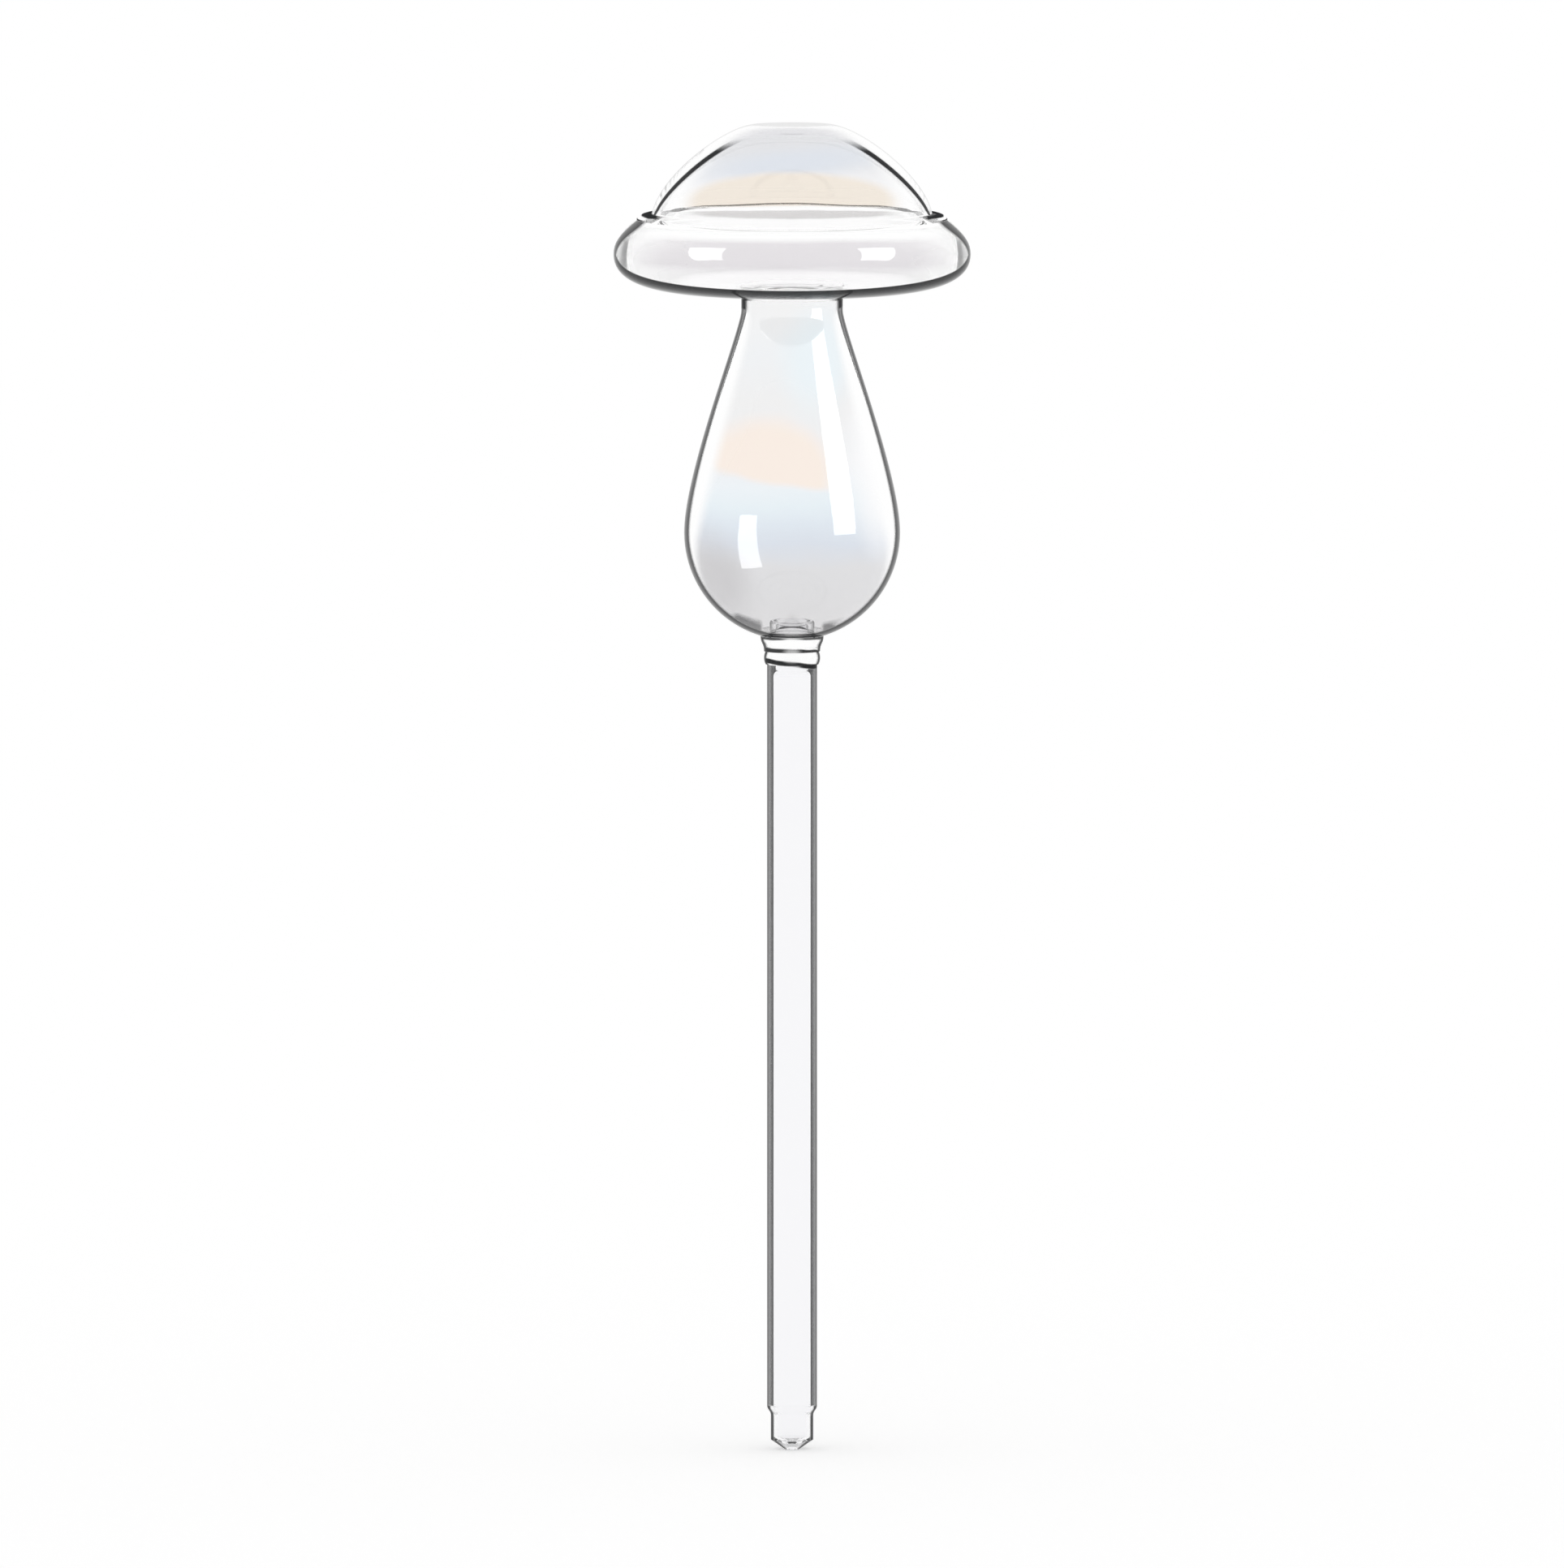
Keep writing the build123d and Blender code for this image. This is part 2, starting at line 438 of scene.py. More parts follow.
@dataclass(frozen=True)
class Sight:
    """Sockets that tell a glass material which spot is looked at, and from where in the wall."""

    place: NodeSocket
    across: NodeSocket
    level: NodeSocket
    tilt: NodeSocket
    facing: NodeSocket
    from_air: NodeSocket
    from_glass: NodeSocket

    @classmethod
    def add(cls, tree: NodeTree) -> "Sight":
        """Add the nodes that see the spot.

        Args:
            tree: The material's tree.

        Returns:
            The sockets, with from_air 1 on the outer skin and from_glass 1 on the inner skin.
        """
        place = add_node(tree, "ShaderNodeTexCoord").outputs["Object"]
        axes = add_node(tree, "ShaderNodeSeparateXYZ", {0: place})
        side = add_node(tree, "ShaderNodeNewGeometry")
        normal = add_node(tree, "ShaderNodeSeparateXYZ", {0: side.outputs["Normal"]})
        weight = add_node(tree, "ShaderNodeLayerWeight", {"Blend": 0.5})
        inner = add_node(tree, "ShaderNodeAttribute", attribute_name=INNER_SKIN).outputs["Fac"]
        behind = side.outputs["Backfacing"]
        outer = add_node(tree, "ShaderNodeMath", {0: 1.0, 1: inner}, operation="SUBTRACT")
        before = add_node(tree, "ShaderNodeMath", {0: 1.0, 1: behind}, operation="SUBTRACT")
        from_air = add_node(tree, "ShaderNodeMath", {0: outer, 1: before}, operation="MULTIPLY")
        from_glass = add_node(tree, "ShaderNodeMath", {0: inner, 1: behind}, operation="MULTIPLY")
        return cls(
            place,
            axes.outputs["X"],
            axes.outputs["Z"],
            normal.outputs["Z"],
            weight.outputs["Facing"],
            from_air.outputs[0],
            from_glass.outputs[0],
        )


@dataclass(frozen=True)
class GlassFinish:
    """Clear borosilicate glass, worked in the flame: smooth, with slight cords and, if blown, a film.

    Cords are the faint streaks that hot glass keeps, and haze is the little polish that it loses on them.
    Its dark edges and rings are painted shade.
    """

    name: str
    shade: EdgeShade
    film_and_shade: FilmAndShade | None = None
    painted_rings: tuple[PaintedShadeRing, ...] = ()
    ior: float = GLASS_IOR
    specular: float = 0.5
    tint: str = "FFFFFF"
    # Colour of the painted shade at edges and rings
    dark: str = "15171A"
    cord: float = 9.0
    cord_depth: float = 0.004
    haze: float = 0.02

    def painted_edge_shade(self, tree: NodeTree, sight: Sight) -> Node:
        """Add the painted shade of edges: past the critical angle inside, and at grazing sight outside.

        Args:
            tree: The material's tree.
            sight: What is looked at.

        Returns:
            The node that gives 0 where the glass is clear and 1 where it is dark.
        """
        shade = self.shade
        edge: Node | float = 0.0
        for stops, lean, seen, lit in (
            (shade.inside_stops(), 0.0, sight.from_glass, shade.wall_lit),
            (shade.outside_stops(), shade.rim_lean, sight.from_air, shade.rim_lit),
            (shade.stroke_stops(), shade.stroke_lean, sight.from_air, shade.stroke_lit),
        ):
            turned = add_node(
                tree, "ShaderNodeMath", {0: sight.tilt, 1: lean, 2: sight.facing}, operation="MULTIPLY_ADD"
            )
            share = add_node(tree, "ShaderNodeValToRGB", {"Fac": turned}, stops)
            unlit = add_node(
                tree,
                "ShaderNodeMapRange",
                {"Value": sight.tilt, "From Min": lit[0], "From Max": lit[1], "To Min": 1.0, "To Max": 0.0},
                interpolation_type="SMOOTHSTEP",
            )
            for gate in (unlit, seen):
                share = add_node(tree, "ShaderNodeMath", {0: share, 1: gate}, operation="MULTIPLY")
            edge = add_node(tree, "ShaderNodeMath", {0: edge, 1: share}, operation="MAXIMUM")
        return edge

    def ring(self, tree: NodeTree, sight: Sight, seal: PaintedShadeRing, cords: NodeSocket) -> Node:
        """Add a painted dark ring of shade.

        Args:
            tree: The material's tree.
            sight: What is looked at.
            seal: The painted ring.
            cords: The unevenness of the glass, which moves the ring by up to its width.

        Returns:
            The node that gives the ring's shade, and 0 beside it.
        """
        level: Node | NodeSocket = sight.level
        for value, factor in ((sight.across, -seal.slope), (cords, 2 * seal.width * MM)):
            level = add_node(
                tree, "ShaderNodeMath", {0: value, 1: factor, 2: level}, operation="MULTIPLY_ADD"
            )
        middle = (seal.level + seal.width) * MM
        offset = add_node(tree, "ShaderNodeMath", {0: level, 1: middle}, operation="SUBTRACT")
        away = add_node(tree, "ShaderNodeMath", {0: offset}, operation="ABSOLUTE")
        aside = add_node(tree, "ShaderNodeMath", {0: sight.across}, operation="ABSOLUTE")
        shown: Node | NodeSocket = sight.from_air
        for value, start, end, first, last in (
            (away, seal.width / 2 * MM, seal.width * MM, seal.shade, 0.0),
            (sight.facing, seal.turned - seal.turn_in, seal.turned + seal.turn_in, 0.0, 1.0),
            (aside, (seal.beside - seal.beside_in) * MM, seal.beside * MM, 0.0, 1.0),
        ):
            gate = add_node(
                tree,
                "ShaderNodeMapRange",
                {"Value": value, "From Min": start, "From Max": end, "To Min": first, "To Max": last},
                interpolation_type="SMOOTHSTEP",
            )
            shown = add_node(tree, "ShaderNodeMath", {0: shown, 1: gate}, operation="MULTIPLY")
        return shown

    def film(self, tree: NodeTree, sight: Sight, film_and_shade: FilmAndShade) -> NodeSocket:
        """Add the film's bands, with uneven edges, washed out where the skin turns away.

        Args:
            tree: The material's tree.
            sight: What is looked at.
            film_and_shade: The film's bands.

        Returns:
            The output that carries the film's colour on the glass's own.
        """
        often = 1 / (film_and_shade.patch * MM)
        noise = add_node(tree, "ShaderNodeTexNoise", {"Vector": sight.place, "Scale": often, "Detail": 1.0})
        waver = add_node(
            tree,
            "ShaderNodeVectorMath",
            {0: noise.outputs["Color"], 1: (2 * film_and_shade.warp * MM,) * 3, 2: (-film_and_shade.warp * MM,) * 3},
            operation="MULTIPLY_ADD",
        )
        spot = add_node(tree, "ShaderNodeVectorMath", {0: waver, 1: sight.place}, operation="ADD")
        axes = add_node(tree, "ShaderNodeSeparateXYZ", {0: spot})
        bowed = add_node(tree, "ShaderNodeMath", {0: sight.across, 1: sight.across}, operation="MULTIPLY")
        level = add_node(
            tree,
            "ShaderNodeMath",
            {0: bowed, 1: film_and_shade.bow / MM, 2: axes.outputs["Z"]},
            operation="MULTIPLY_ADD",
        )
        spot = add_node(
            tree, "ShaderNodeCombineXYZ", {"X": axes.outputs["X"], "Y": axes.outputs["Y"], "Z": level}
        )
        low, high = film_and_shade.bands[0][0], film_and_shade.bands[-1][0]
        height = add_node(
            tree, "ShaderNodeMapRange", {"Value": level, "From Min": low * MM, "From Max": high * MM}
        )
        stops = [((band - low) / (high - low), self.film_colour(code)) for band, code in film_and_shade.bands]
        colour = add_node(tree, "ShaderNodeValToRGB", {"Fac": height}, stops).outputs["Color"]
        for cloud in film_and_shade.clouds:
            cover = self.cloud(tree, spot, cloud)
            layers = {MIX_SHARE: cover, MIX_FROM: colour, MIX_TO: self.film_colour(cloud.colour)}
            colour = add_node(tree, "ShaderNodeMix", layers, data_type="RGBA").outputs[MIXED]
        turned = add_node(
            tree,
            "ShaderNodeMath",
            {0: sight.tilt, 1: -film_and_shade.crown, 2: sight.facing},
            operation="MULTIPLY_ADD",
        )
        fade = add_node(
            tree,
            "ShaderNodeMapRange",
            {
                "Value": turned,
                "From Min": film_and_shade.fade_from,
                "From Max": film_and_shade.fade_to,
                "To Min": 1.0,
                "To Max": 0.0,
            },
            interpolation_type="SMOOTHSTEP",
        )
        shown = add_node(tree, "ShaderNodeMath", {0: fade, 1: sight.from_air}, operation="MULTIPLY")
        layers = {MIX_SHARE: shown, MIX_FROM: linear(self.tint), MIX_TO: colour}
        return add_node(tree, "ShaderNodeMix", layers, data_type="RGBA").outputs[MIXED]

    @staticmethod
    def film_colour(code: str) -> tuple[float, ...]:
        """Square a colour: sight goes through the film once, and the shader takes the root at each skin."""
        return tuple(channel**2 for channel in linear(code))

    @staticmethod
    def cloud(tree: NodeTree, spot: Node, cloud: Cloud) -> Node:
        """Add a cloud of the film.

        Args:
            tree: The material's tree.
            spot: The place on the film, with its waver and bow.
            cloud: The cloud.

        Returns:
            The node that gives the cloud's share at the spot.
        """
        near = add_node(
            tree,
            "ShaderNodeMapping",
            {
                "Vector": spot,
                "Location": (cloud.across * MM, 0.0, cloud.level * MM),
                "Rotation": (0.0, radians(cloud.lean), 0.0),
                "Scale": (cloud.wide * MM, 1.0, cloud.high * MM),
            },
            vector_type="TEXTURE",
        )
        away = add_node(tree, "ShaderNodeVectorMath", {0: near}, operation="LENGTH")
        share = add_node(
            tree,
            "ShaderNodeMapRange",
            {
                "Value": away.outputs["Value"],
                "From Min": 1 - cloud.soft,
                "From Max": 1 + cloud.soft,
                "To Min": 1.0,
                "To Max": 0.0,
            },
            interpolation_type="SMOOTHSTEP",
        )
        if cloud.foot is None:
            return share
        own = add_node(tree, "ShaderNodeSeparateXYZ", {0: near})
        above = add_node(
            tree,
            "ShaderNodeMapRange",
            {
                "Value": own.outputs["Z"],
                "From Min": cloud.foot - cloud.soft / 2,
                "From Max": cloud.foot + cloud.soft / 2,
            },
            interpolation_type="SMOOTHSTEP",
        )
        return add_node(tree, "ShaderNodeMath", {0: share, 1: above}, operation="MULTIPLY")

    def material(self) -> Material:
        """Make the material.

        Returns:
            A glass whose walls are painted dark where they are seen edge on.
        """
        material = bpy.data.materials.new(self.name)
        tree = bare_tree(material)
        sight = Sight.add(tree)
        cords = add_node(
            tree, "ShaderNodeTexNoise", {"Vector": sight.place, "Scale": 1 / (self.cord * MM), "Detail": 2.0}
        ).outputs["Fac"]
        edge = self.painted_edge_shade(tree, sight)
        for seal in self.painted_rings:
            ring = self.ring(tree, sight, seal, cords)
            edge = add_node(tree, "ShaderNodeMath", {0: edge, 1: ring}, operation="MAXIMUM")
        clear = add_node(tree, "ShaderNodeMath", {0: 1.0, 1: edge}, operation="SUBTRACT")
        colour = self.film(tree, sight, self.film_and_shade) if self.film_and_shade else linear(self.tint)
        layers = {MIX_SHARE: edge, MIX_FROM: colour, MIX_TO: linear(self.dark)}
        base = add_node(tree, "ShaderNodeMix", layers, data_type="RGBA")
        ripple = add_node(
            tree, "ShaderNodeBump", {"Strength": 1.0, "Distance": self.cord_depth * MM, "Height": cords}
        )
        haze = add_node(tree, "ShaderNodeMath", {0: cords, 1: self.haze}, operation="MULTIPLY")
        # Painted dark edges mirror nothing, or the white room would turn them grey
        gloss = add_node(tree, "ShaderNodeMath", {0: clear, 1: self.specular}, operation="MULTIPLY")
        glass = add_node(
            tree,
            "ShaderNodeBsdfPrincipled",
            {
                "Base Color": base.outputs[MIXED],
                "Roughness": haze,
                "IOR": self.ior,
                "Specular IOR Level": gloss,
                "Transmission Weight": clear,
                "Normal": ripple,
            },
        )
        add_node(tree, "ShaderNodeOutputMaterial", {"Surface": glass})
        return material


@dataclass(frozen=True)
class FusedJoint:
    """The hidden face between two sections that the flame made one, through which light goes straight on."""

    name: str = "fused_borosilicate_joint"
    ior: float = 1.0

    def material(self) -> Material:
        """Make the material, or give the one that is there."""
        if self.name in bpy.data.materials:
            return bpy.data.materials[self.name]
        material = bpy.data.materials.new(self.name)
        tree = bare_tree(material)
        joint = add_node(
            tree,
            "ShaderNodeBsdfPrincipled",
            {"Base Color": linear("FFFFFF"), "Roughness": 0.0, "IOR": self.ior, "Transmission Weight": 1.0},
        )
        add_node(tree, "ShaderNodeOutputMaterial", {"Surface": joint})
        return material


class Lathe:
    """A Geometry Nodes tree that turns an outline about the axis, as a glass lathe does."""

    def __init__(self) -> None:
        """Build the tree."""
        self.tree = bpy.data.node_groups.new("glass_lathe", "GeometryNodeTree")
        self.sockets: dict[str, str] = {}
        face = self.tree.interface
        face.new_socket("Outline", in_out="INPUT", socket_type="NodeSocketGeometry")
        for name, kind in (
            ("Steps", "NodeSocketInt"),
            ("Sway", "NodeSocketFloat"),
            ("Wall Sway", "NodeSocketFloat"),
            ("Sway Size", "NodeSocketFloat"),
            ("Seed", "NodeSocketFloat"),
            ("Crease", "NodeSocketFloat"),
            ("Finish", "NodeSocketMaterial"),
            ("Joint", "NodeSocketMaterial"),
        ):
            self.sockets[name] = face.new_socket(name, in_out="INPUT", socket_type=kind).identifier
        face.new_socket("Piece", in_out="OUTPUT", socket_type="NodeSocketGeometry")
        self.wire()

    def wire(self) -> None:
        """Add and link the tree's nodes."""
        tree = self.tree
        given = add_node(tree, "NodeGroupInput")
        turned = self.turned_skin(given)
        closed = add_node(tree, "GeometryNodeMergeByDistance", {"Geometry": turned, "Distance": MERGE_REACH})
        swayed = self.sway(given, closed)

        # Corners of the outline stay crisp, and everything between them is smooth
        smooth = add_node(
            tree, "GeometryNodeSetShadeSmooth", {"Geometry": swayed, "Shade Smooth": True}, domain="FACE"
        )
        bend = add_node(tree, "GeometryNodeInputMeshEdgeAngle").outputs["Unsigned Angle"]
        corner = add_node(
            tree, "FunctionNodeCompare", {"A": bend, "B": given.outputs["Crease"]}, operation="GREATER_THAN"
        )
        bare = add_node(
            tree,
            "GeometryNodeSetShadeSmooth",
            {"Geometry": smooth, "Selection": corner, "Shade Smooth": False},
            domain="EDGE",
        )
        for name in ("outline", "turn"):
            bare = add_node(tree, "GeometryNodeRemoveAttribute", {"Geometry": bare, "Name": name})
        real = add_node(tree, "GeometryNodeRealizeInstances", {"Geometry": bare})
        finish = given.outputs["Finish"]
        dressed = add_node(tree, "GeometryNodeSetMaterial", {"Geometry": real, "Material": finish})
        fused = add_node(tree, "GeometryNodeInputNamedAttribute", {"Name": FUSED_FACE}, data_type="FLOAT")
        hidden = add_node(tree, "FunctionNodeCompare", {"A": fused, "B": WHOLLY}, operation="GREATER_THAN")
        joined = add_node(
            tree,
            "GeometryNodeSetMaterial",
            {"Geometry": dressed, "Selection": hidden, "Material": given.outputs["Joint"]},
        )
        add_node(tree, "NodeGroupOutput", {0: joined})

    def turned_skin(self, given: Node) -> Node:
        """Turn the outline: each of its points keeps radius and level, and each step of the turn its angle.

        Args:
            given: The tree's input node.

        Returns:
            The node that gives the turned mesh, with its poles not yet merged.
        """
        tree = self.tree
        strand = add_node(tree, "GeometryNodeMeshToCurve", {"Mesh": given.outputs["Outline"]})
        where = add_node(tree, "GeometryNodeInputPosition")
        profile = add_node(
            tree,
            "GeometryNodeStoreNamedAttribute",
            {"Geometry": strand, "Name": "outline", "Value": where},
            data_type="FLOAT_VECTOR",
        )
        circle = add_node(
            tree, "GeometryNodeCurvePrimitiveCircle", {"Resolution": given.outputs["Steps"], "Radius": 1.0}
        )
        along = add_node(tree, "GeometryNodeSplineParameter").outputs["Factor"]
        angle = add_node(tree, "ShaderNodeMath", {0: along, 1: 2 * pi}, operation="MULTIPLY")
        path = add_node(
            tree,
            "GeometryNodeStoreNamedAttribute",
            {"Geometry": circle, "Name": "turn", "Value": angle},
            data_type="FLOAT",
        )
        skin = add_node(tree, "GeometryNodeCurveToMesh", {"Curve": path, "Profile Curve": profile})
        point = add_node(
            tree, "GeometryNodeInputNamedAttribute", {"Name": "outline"}, data_type="FLOAT_VECTOR"
        )
        turn = add_node(tree, "GeometryNodeInputNamedAttribute", {"Name": "turn"}, data_type="FLOAT")
        parts = add_node(tree, "ShaderNodeSeparateXYZ", {0: point})
        spot: dict[str, object] = {"Z": parts.outputs["Z"]}
        for axis, operation in (("X", "COSINE"), ("Y", "SINE")):
            share = add_node(tree, "ShaderNodeMath", {0: turn}, operation=operation)
            spot[axis] = add_node(
                tree, "ShaderNodeMath", {0: parts.outputs["X"], 1: share}, operation="MULTIPLY"
            )
        place = add_node(tree, "ShaderNodeCombineXYZ", spot)
        return add_node(tree, "GeometryNodeSetPosition", {"Geometry": skin, "Position": place})

    def sway(self, given: Node, mesh: Node) -> Node:
        """Draw the walls in by a little, unevenly, and the inner skin by a little more or less.

        Args:
            given: The tree's input node.
            mesh: The node that gives the turned mesh.

        Returns:
            The node that gives the mesh with its hand-blown sway.
        """
        tree = self.tree
        where = add_node(tree, "GeometryNodeInputPosition")
        inner = add_node(tree, "GeometryNodeInputNamedAttribute", {"Name": INNER_SKIN}, data_type="FLOAT")
        often = add_node(tree, "ShaderNodeMath", {0: 1.0, 1: given.outputs["Sway Size"]}, operation="DIVIDE")
        seed = given.outputs["Seed"]
        lining_seed = add_node(tree, "ShaderNodeMath", {0: seed, 1: LINING_SEED}, operation="ADD")
        outside, lining = (
            add_node(
                tree,
                "ShaderNodeTexNoise",
                {"Vector": where, "W": own, "Scale": often, "Detail": 0.0},
                noise_dimensions="4D",
            ).outputs["Fac"]
            for own in (seed, lining_seed)
        )
        drawn = add_node(tree, "ShaderNodeMath", {0: outside, 1: given.outputs["Sway"]}, operation="MULTIPLY")
        uneven = add_node(tree, "ShaderNodeMath", {0: lining, 1: NOISE_MIDDLE}, operation="SUBTRACT")
        thick = add_node(
            tree, "ShaderNodeMath", {0: uneven, 1: given.outputs["Wall Sway"]}, operation="MULTIPLY"
        )
        less = add_node(tree, "ShaderNodeMath", {0: thick, 1: inner, 2: drawn}, operation="MULTIPLY_ADD")
        keep = add_node(tree, "ShaderNodeMath", {0: 1.0, 1: less}, operation="SUBTRACT")
        scale = add_node(tree, "ShaderNodeCombineXYZ", {"X": keep, "Y": keep, "Z": 1.0})
        place = add_node(tree, "ShaderNodeVectorMath", {0: where, 1: scale}, operation="MULTIPLY")
        return add_node(tree, "GeometryNodeSetPosition", {"Geometry": mesh, "Position": place})

    def turn(self, name: str, outline: Outline, finish: GlassFinish, **inputs: float) -> Object:
        """Turn an outline into a piece.

        Args:
            name: The piece's name.
            outline: The outline, closed unless both its ends are on the axis.
            finish: The glass that the piece is made of.
            inputs: Values for the tree's inputs that differ from the usual ones.

        Returns:
            The piece, a plain mesh at the origin.
        """
        outline.close()
        count = len(outline.points)
        open_ended = outline.points[0][0] == 0 and outline.points[-1][0] == 0
        edges = [(i, (i + 1) % count) for i in range(count - open_ended)]
        strand = bpy.data.meshes.new(f"{name}_outline")
        strand.from_pydata([(r * MM, 0, z * MM) for r, z in outline.points], edges, [])
        for label, flags in ((INNER_SKIN, outline.inner), (FUSED_FACE, outline.fused)):
            strand.attributes.new(label, "FLOAT", "POINT").data.foreach_set("value", flags)
        piece = bpy.data.objects.new(name, strand)
        bpy.context.scene.collection.objects.link(piece)
        modifier = piece.modifiers.new("lathe", "NODES")
        modifier.node_group = self.tree
        usual = {
            "Steps": 192,
            "Sway": 0.003,
            "Wall Sway": 0.012,
            "Sway Size": 17 * MM,
            "Seed": 3.0,
            "Crease": radians(28),
            "Finish": finish.material(),
            "Joint": FusedJoint().material(),
        }
        for key, value in {**usual, **inputs}.items():
            modifier[self.sockets[key]] = value
        solid = piece.evaluated_get(bpy.context.evaluated_depsgraph_get())
        mesh = bpy.data.meshes.new_from_object(solid)
        mesh.name = name
        piece.modifiers.clear()
        piece.data = mesh
        bpy.data.meshes.remove(strand)
        return piece


@dataclass(frozen=True)
class Extent:
    """A CAD node's reach on the axis of turning, in millimetres."""

    low: float
    high: float
    radius: float

    @classmethod
    def of(cls, node: str) -> "Extent":
        """Read a node's levels and radius from model.glb."""
        low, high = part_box(node)
        return cls(low.z / MM, high.z / MM, high.x / MM)


@dataclass
class SubAssembly:
    """Pieces that are made together, with the lathe that turns them."""

    lathe: Lathe

    def mount(self, node: str, slot: Slot, outline: Outline, finish: GlassFinish, **inputs: float) -> Object:
        """Turn the piece that stands for a CAD node and put it on the object.

        Args:
            node: The CAD node that the piece replaces.
            slot: The record's material slot; not used.
            outline: The piece's outline.
            finish: The glass that the piece is made of.
            inputs: Values for the lathe's inputs that differ from the usual ones.

        Returns:
            The piece.
        """
        piece = self.lathe.turn(f"{node}_glass", outline, finish, **inputs)
        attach(piece, BODY)
        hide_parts(node)
        log.info("%s: %d faces", piece.name, len(piece.data.polygons))
        return piece


@dataclass
class Spike(SubAssembly):
    """The soil spike: drip nozzle, drawn tube with its tenon, weld bead and collar."""

    wall: float = 1.2
    drip_radius: float = 0.6
    drip_length: float = 1.2
    lip_radius: float = 1.5
    cone_height: float = 1.9
    nozzle_radius: float = 4.25
    shoulder: float = 2.1
    tenon_taper: float = 2.4
    lip_rise: float = 1.6
    bead_edge: float = 0.3
    collar_foot: float = 0.6
    collar_height: float = 3.1
    groove_rise: float = 0.3
    groove_lean: float = -0.11

    def __post_init__(self) -> None:
        """Read the extents of the CAD nodes."""
        self.tube = Extent.of("spike_tube")
        self.nozzle = Extent.of("drip_nozzle")
        self.bead = Extent.of("weld_bead")
        self.collar = Extent.of("neck_collar")
        self.bulb = Extent.of("stem_bulb")

    def nozzle_outline(self) -> Outline:
        """Walk the nozzle: up the drip hole and the bore, and down the outside to the coned end."""
        bore = self.nozzle_radius - self.wall
        tube_bore = self.tube.radius - self.wall
        shoulder = self.nozzle.high - self.shoulder
        drip = (self.drip_radius, self.nozzle.low)
        outline = Outline()
        outline.line(
            drip,
            (self.drip_radius, self.nozzle.low + self.drip_length),
            (bore, self.nozzle.low + self.cone_height + self.wall / 2),
            (bore, shoulder),
            skin=Skin.INNER,
        )
        outline.upright_sweep((bore, shoulder), (tube_bore, self.nozzle.high), Skin.INNER)
        outline.line((tube_bore, self.nozzle.high), (self.tube.radius, self.nozzle.high), skin=Skin.FUSED)
        outline.upright_sweep((self.tube.radius, self.nozzle.high), (self.nozzle_radius, shoulder))
        return outline.line(
            (self.nozzle_radius, shoulder),
            (self.nozzle_radius, self.nozzle.low + self.cone_height),
            (self.lip_radius, self.nozzle.low),
            drip,
        )

    def tube_outline(self) -> Outline:
        """Walk the tube: up the bore, over the fire-polished lip, down the tenon and the outside."""
        bore = self.tube.radius - self.wall
        tenon_bore = TENON_RADIUS - self.wall
        foot = self.tube.low + SEAL_GAP
        step = self.bead.low
        lip = self.tube.high - self.wall / 2
        free = lip - self.lip_rise
        outline = Outline()
        outline.line((bore, foot), (bore, step - self.tenon_taper), skin=Skin.INNER)
        outline.upright_sweep((bore, step - self.tenon_taper), (tenon_bore, step), Skin.INNER)
        # Above the step the tenon is melted into what is round it, and has no wall of its own to see
        outline.line((tenon_bore, step), (tenon_bore, free), skin=Skin.FUSED)
        outline.line((tenon_bore, free), (tenon_bore, lip))
        outline.arc((TENON_RADIUS - self.wall / 2, lip), self.wall / 2, pi, 0.0)
        outline.line((TENON_RADIUS, lip), (TENON_RADIUS, free))
        outline.line((TENON_RADIUS, free), (TENON_RADIUS, step), (self.tube.radius, step), skin=Skin.FUSED)
        outline.line((self.tube.radius, step), (self.tube.radius, foot))
        return outline.line((self.tube.radius, foot), (bore, foot), skin=Skin.FUSED)

    def bead_outline(self) -> Outline:
        """Walk the bead: up along the tenon, round its bulging face and back over the tube's shoulder."""
        bore = TENON_RADIUS + SEAL_GAP
        edge = self.tube.radius + self.bead_edge
        low = self.bead.low + SEAL_GAP
        half, bulge = (self.bead.high - low) / 2, self.bead.radius - edge
        radius = (half**2 + bulge**2) / (2 * bulge)
        swing = asin(half / radius)
        outline = Outline()
        outline.line((bore, low), (bore, self.bead.high), (edge, self.bead.high), skin=Skin.FUSED)
        outline.arc((self.bead.radius - radius, low + half), radius, swing, -swing)
        outline.line((edge, low), (self.tube.radius, low))
        return outline.line((self.tube.radius, low), (bore, low), skin=Skin.FUSED)

    def collar_outline(self) -> Outline:
        """Walk the collar: up along the tenon, out under the bulb's round foot and down its flared side."""
        bore = TENON_RADIUS + SEAL_GAP
        low = self.collar.low + SEAL_GAP
        foot = (self.tube.radius + self.collar_foot, low)
        seat = self.tube.radius + self.bead_edge
        flange = (self.collar.radius, self.collar.low + self.collar_height)
        sphere = self.bulb.radius + SEAL_GAP
        centre = flange[1] + sqrt(self.bulb.radius**2 - flange[0] ** 2)
        outline = Outline()
        outline.line((bore, low), (bore, centre - sqrt(sphere**2 - bore**2)), skin=Skin.FUSED)
        outline.arc((0.0, centre), sphere, -acos(bore / sphere), -acos(flange[0] / sphere), Skin.FUSED)
        outline.upright_sweep(outline.points[-1], foot)
        outline.line(foot, (seat, low))
        return outline.line((seat, low), (bore, low), skin=Skin.FUSED)

    def build(self) -> dict[str, Object]:
        """Make the spike's four pieces.

        Returns:
            The pieces by CAD node.
        """
        # Drawn tube is even: both walls are painted as straight grey bands of shade, and the middle is almost
        # empty
        walls = EdgeShade(wall=0.92, line=0.95, line_width=0.02, rim=0.88, rim_from=0.42, rim_to=0.7)
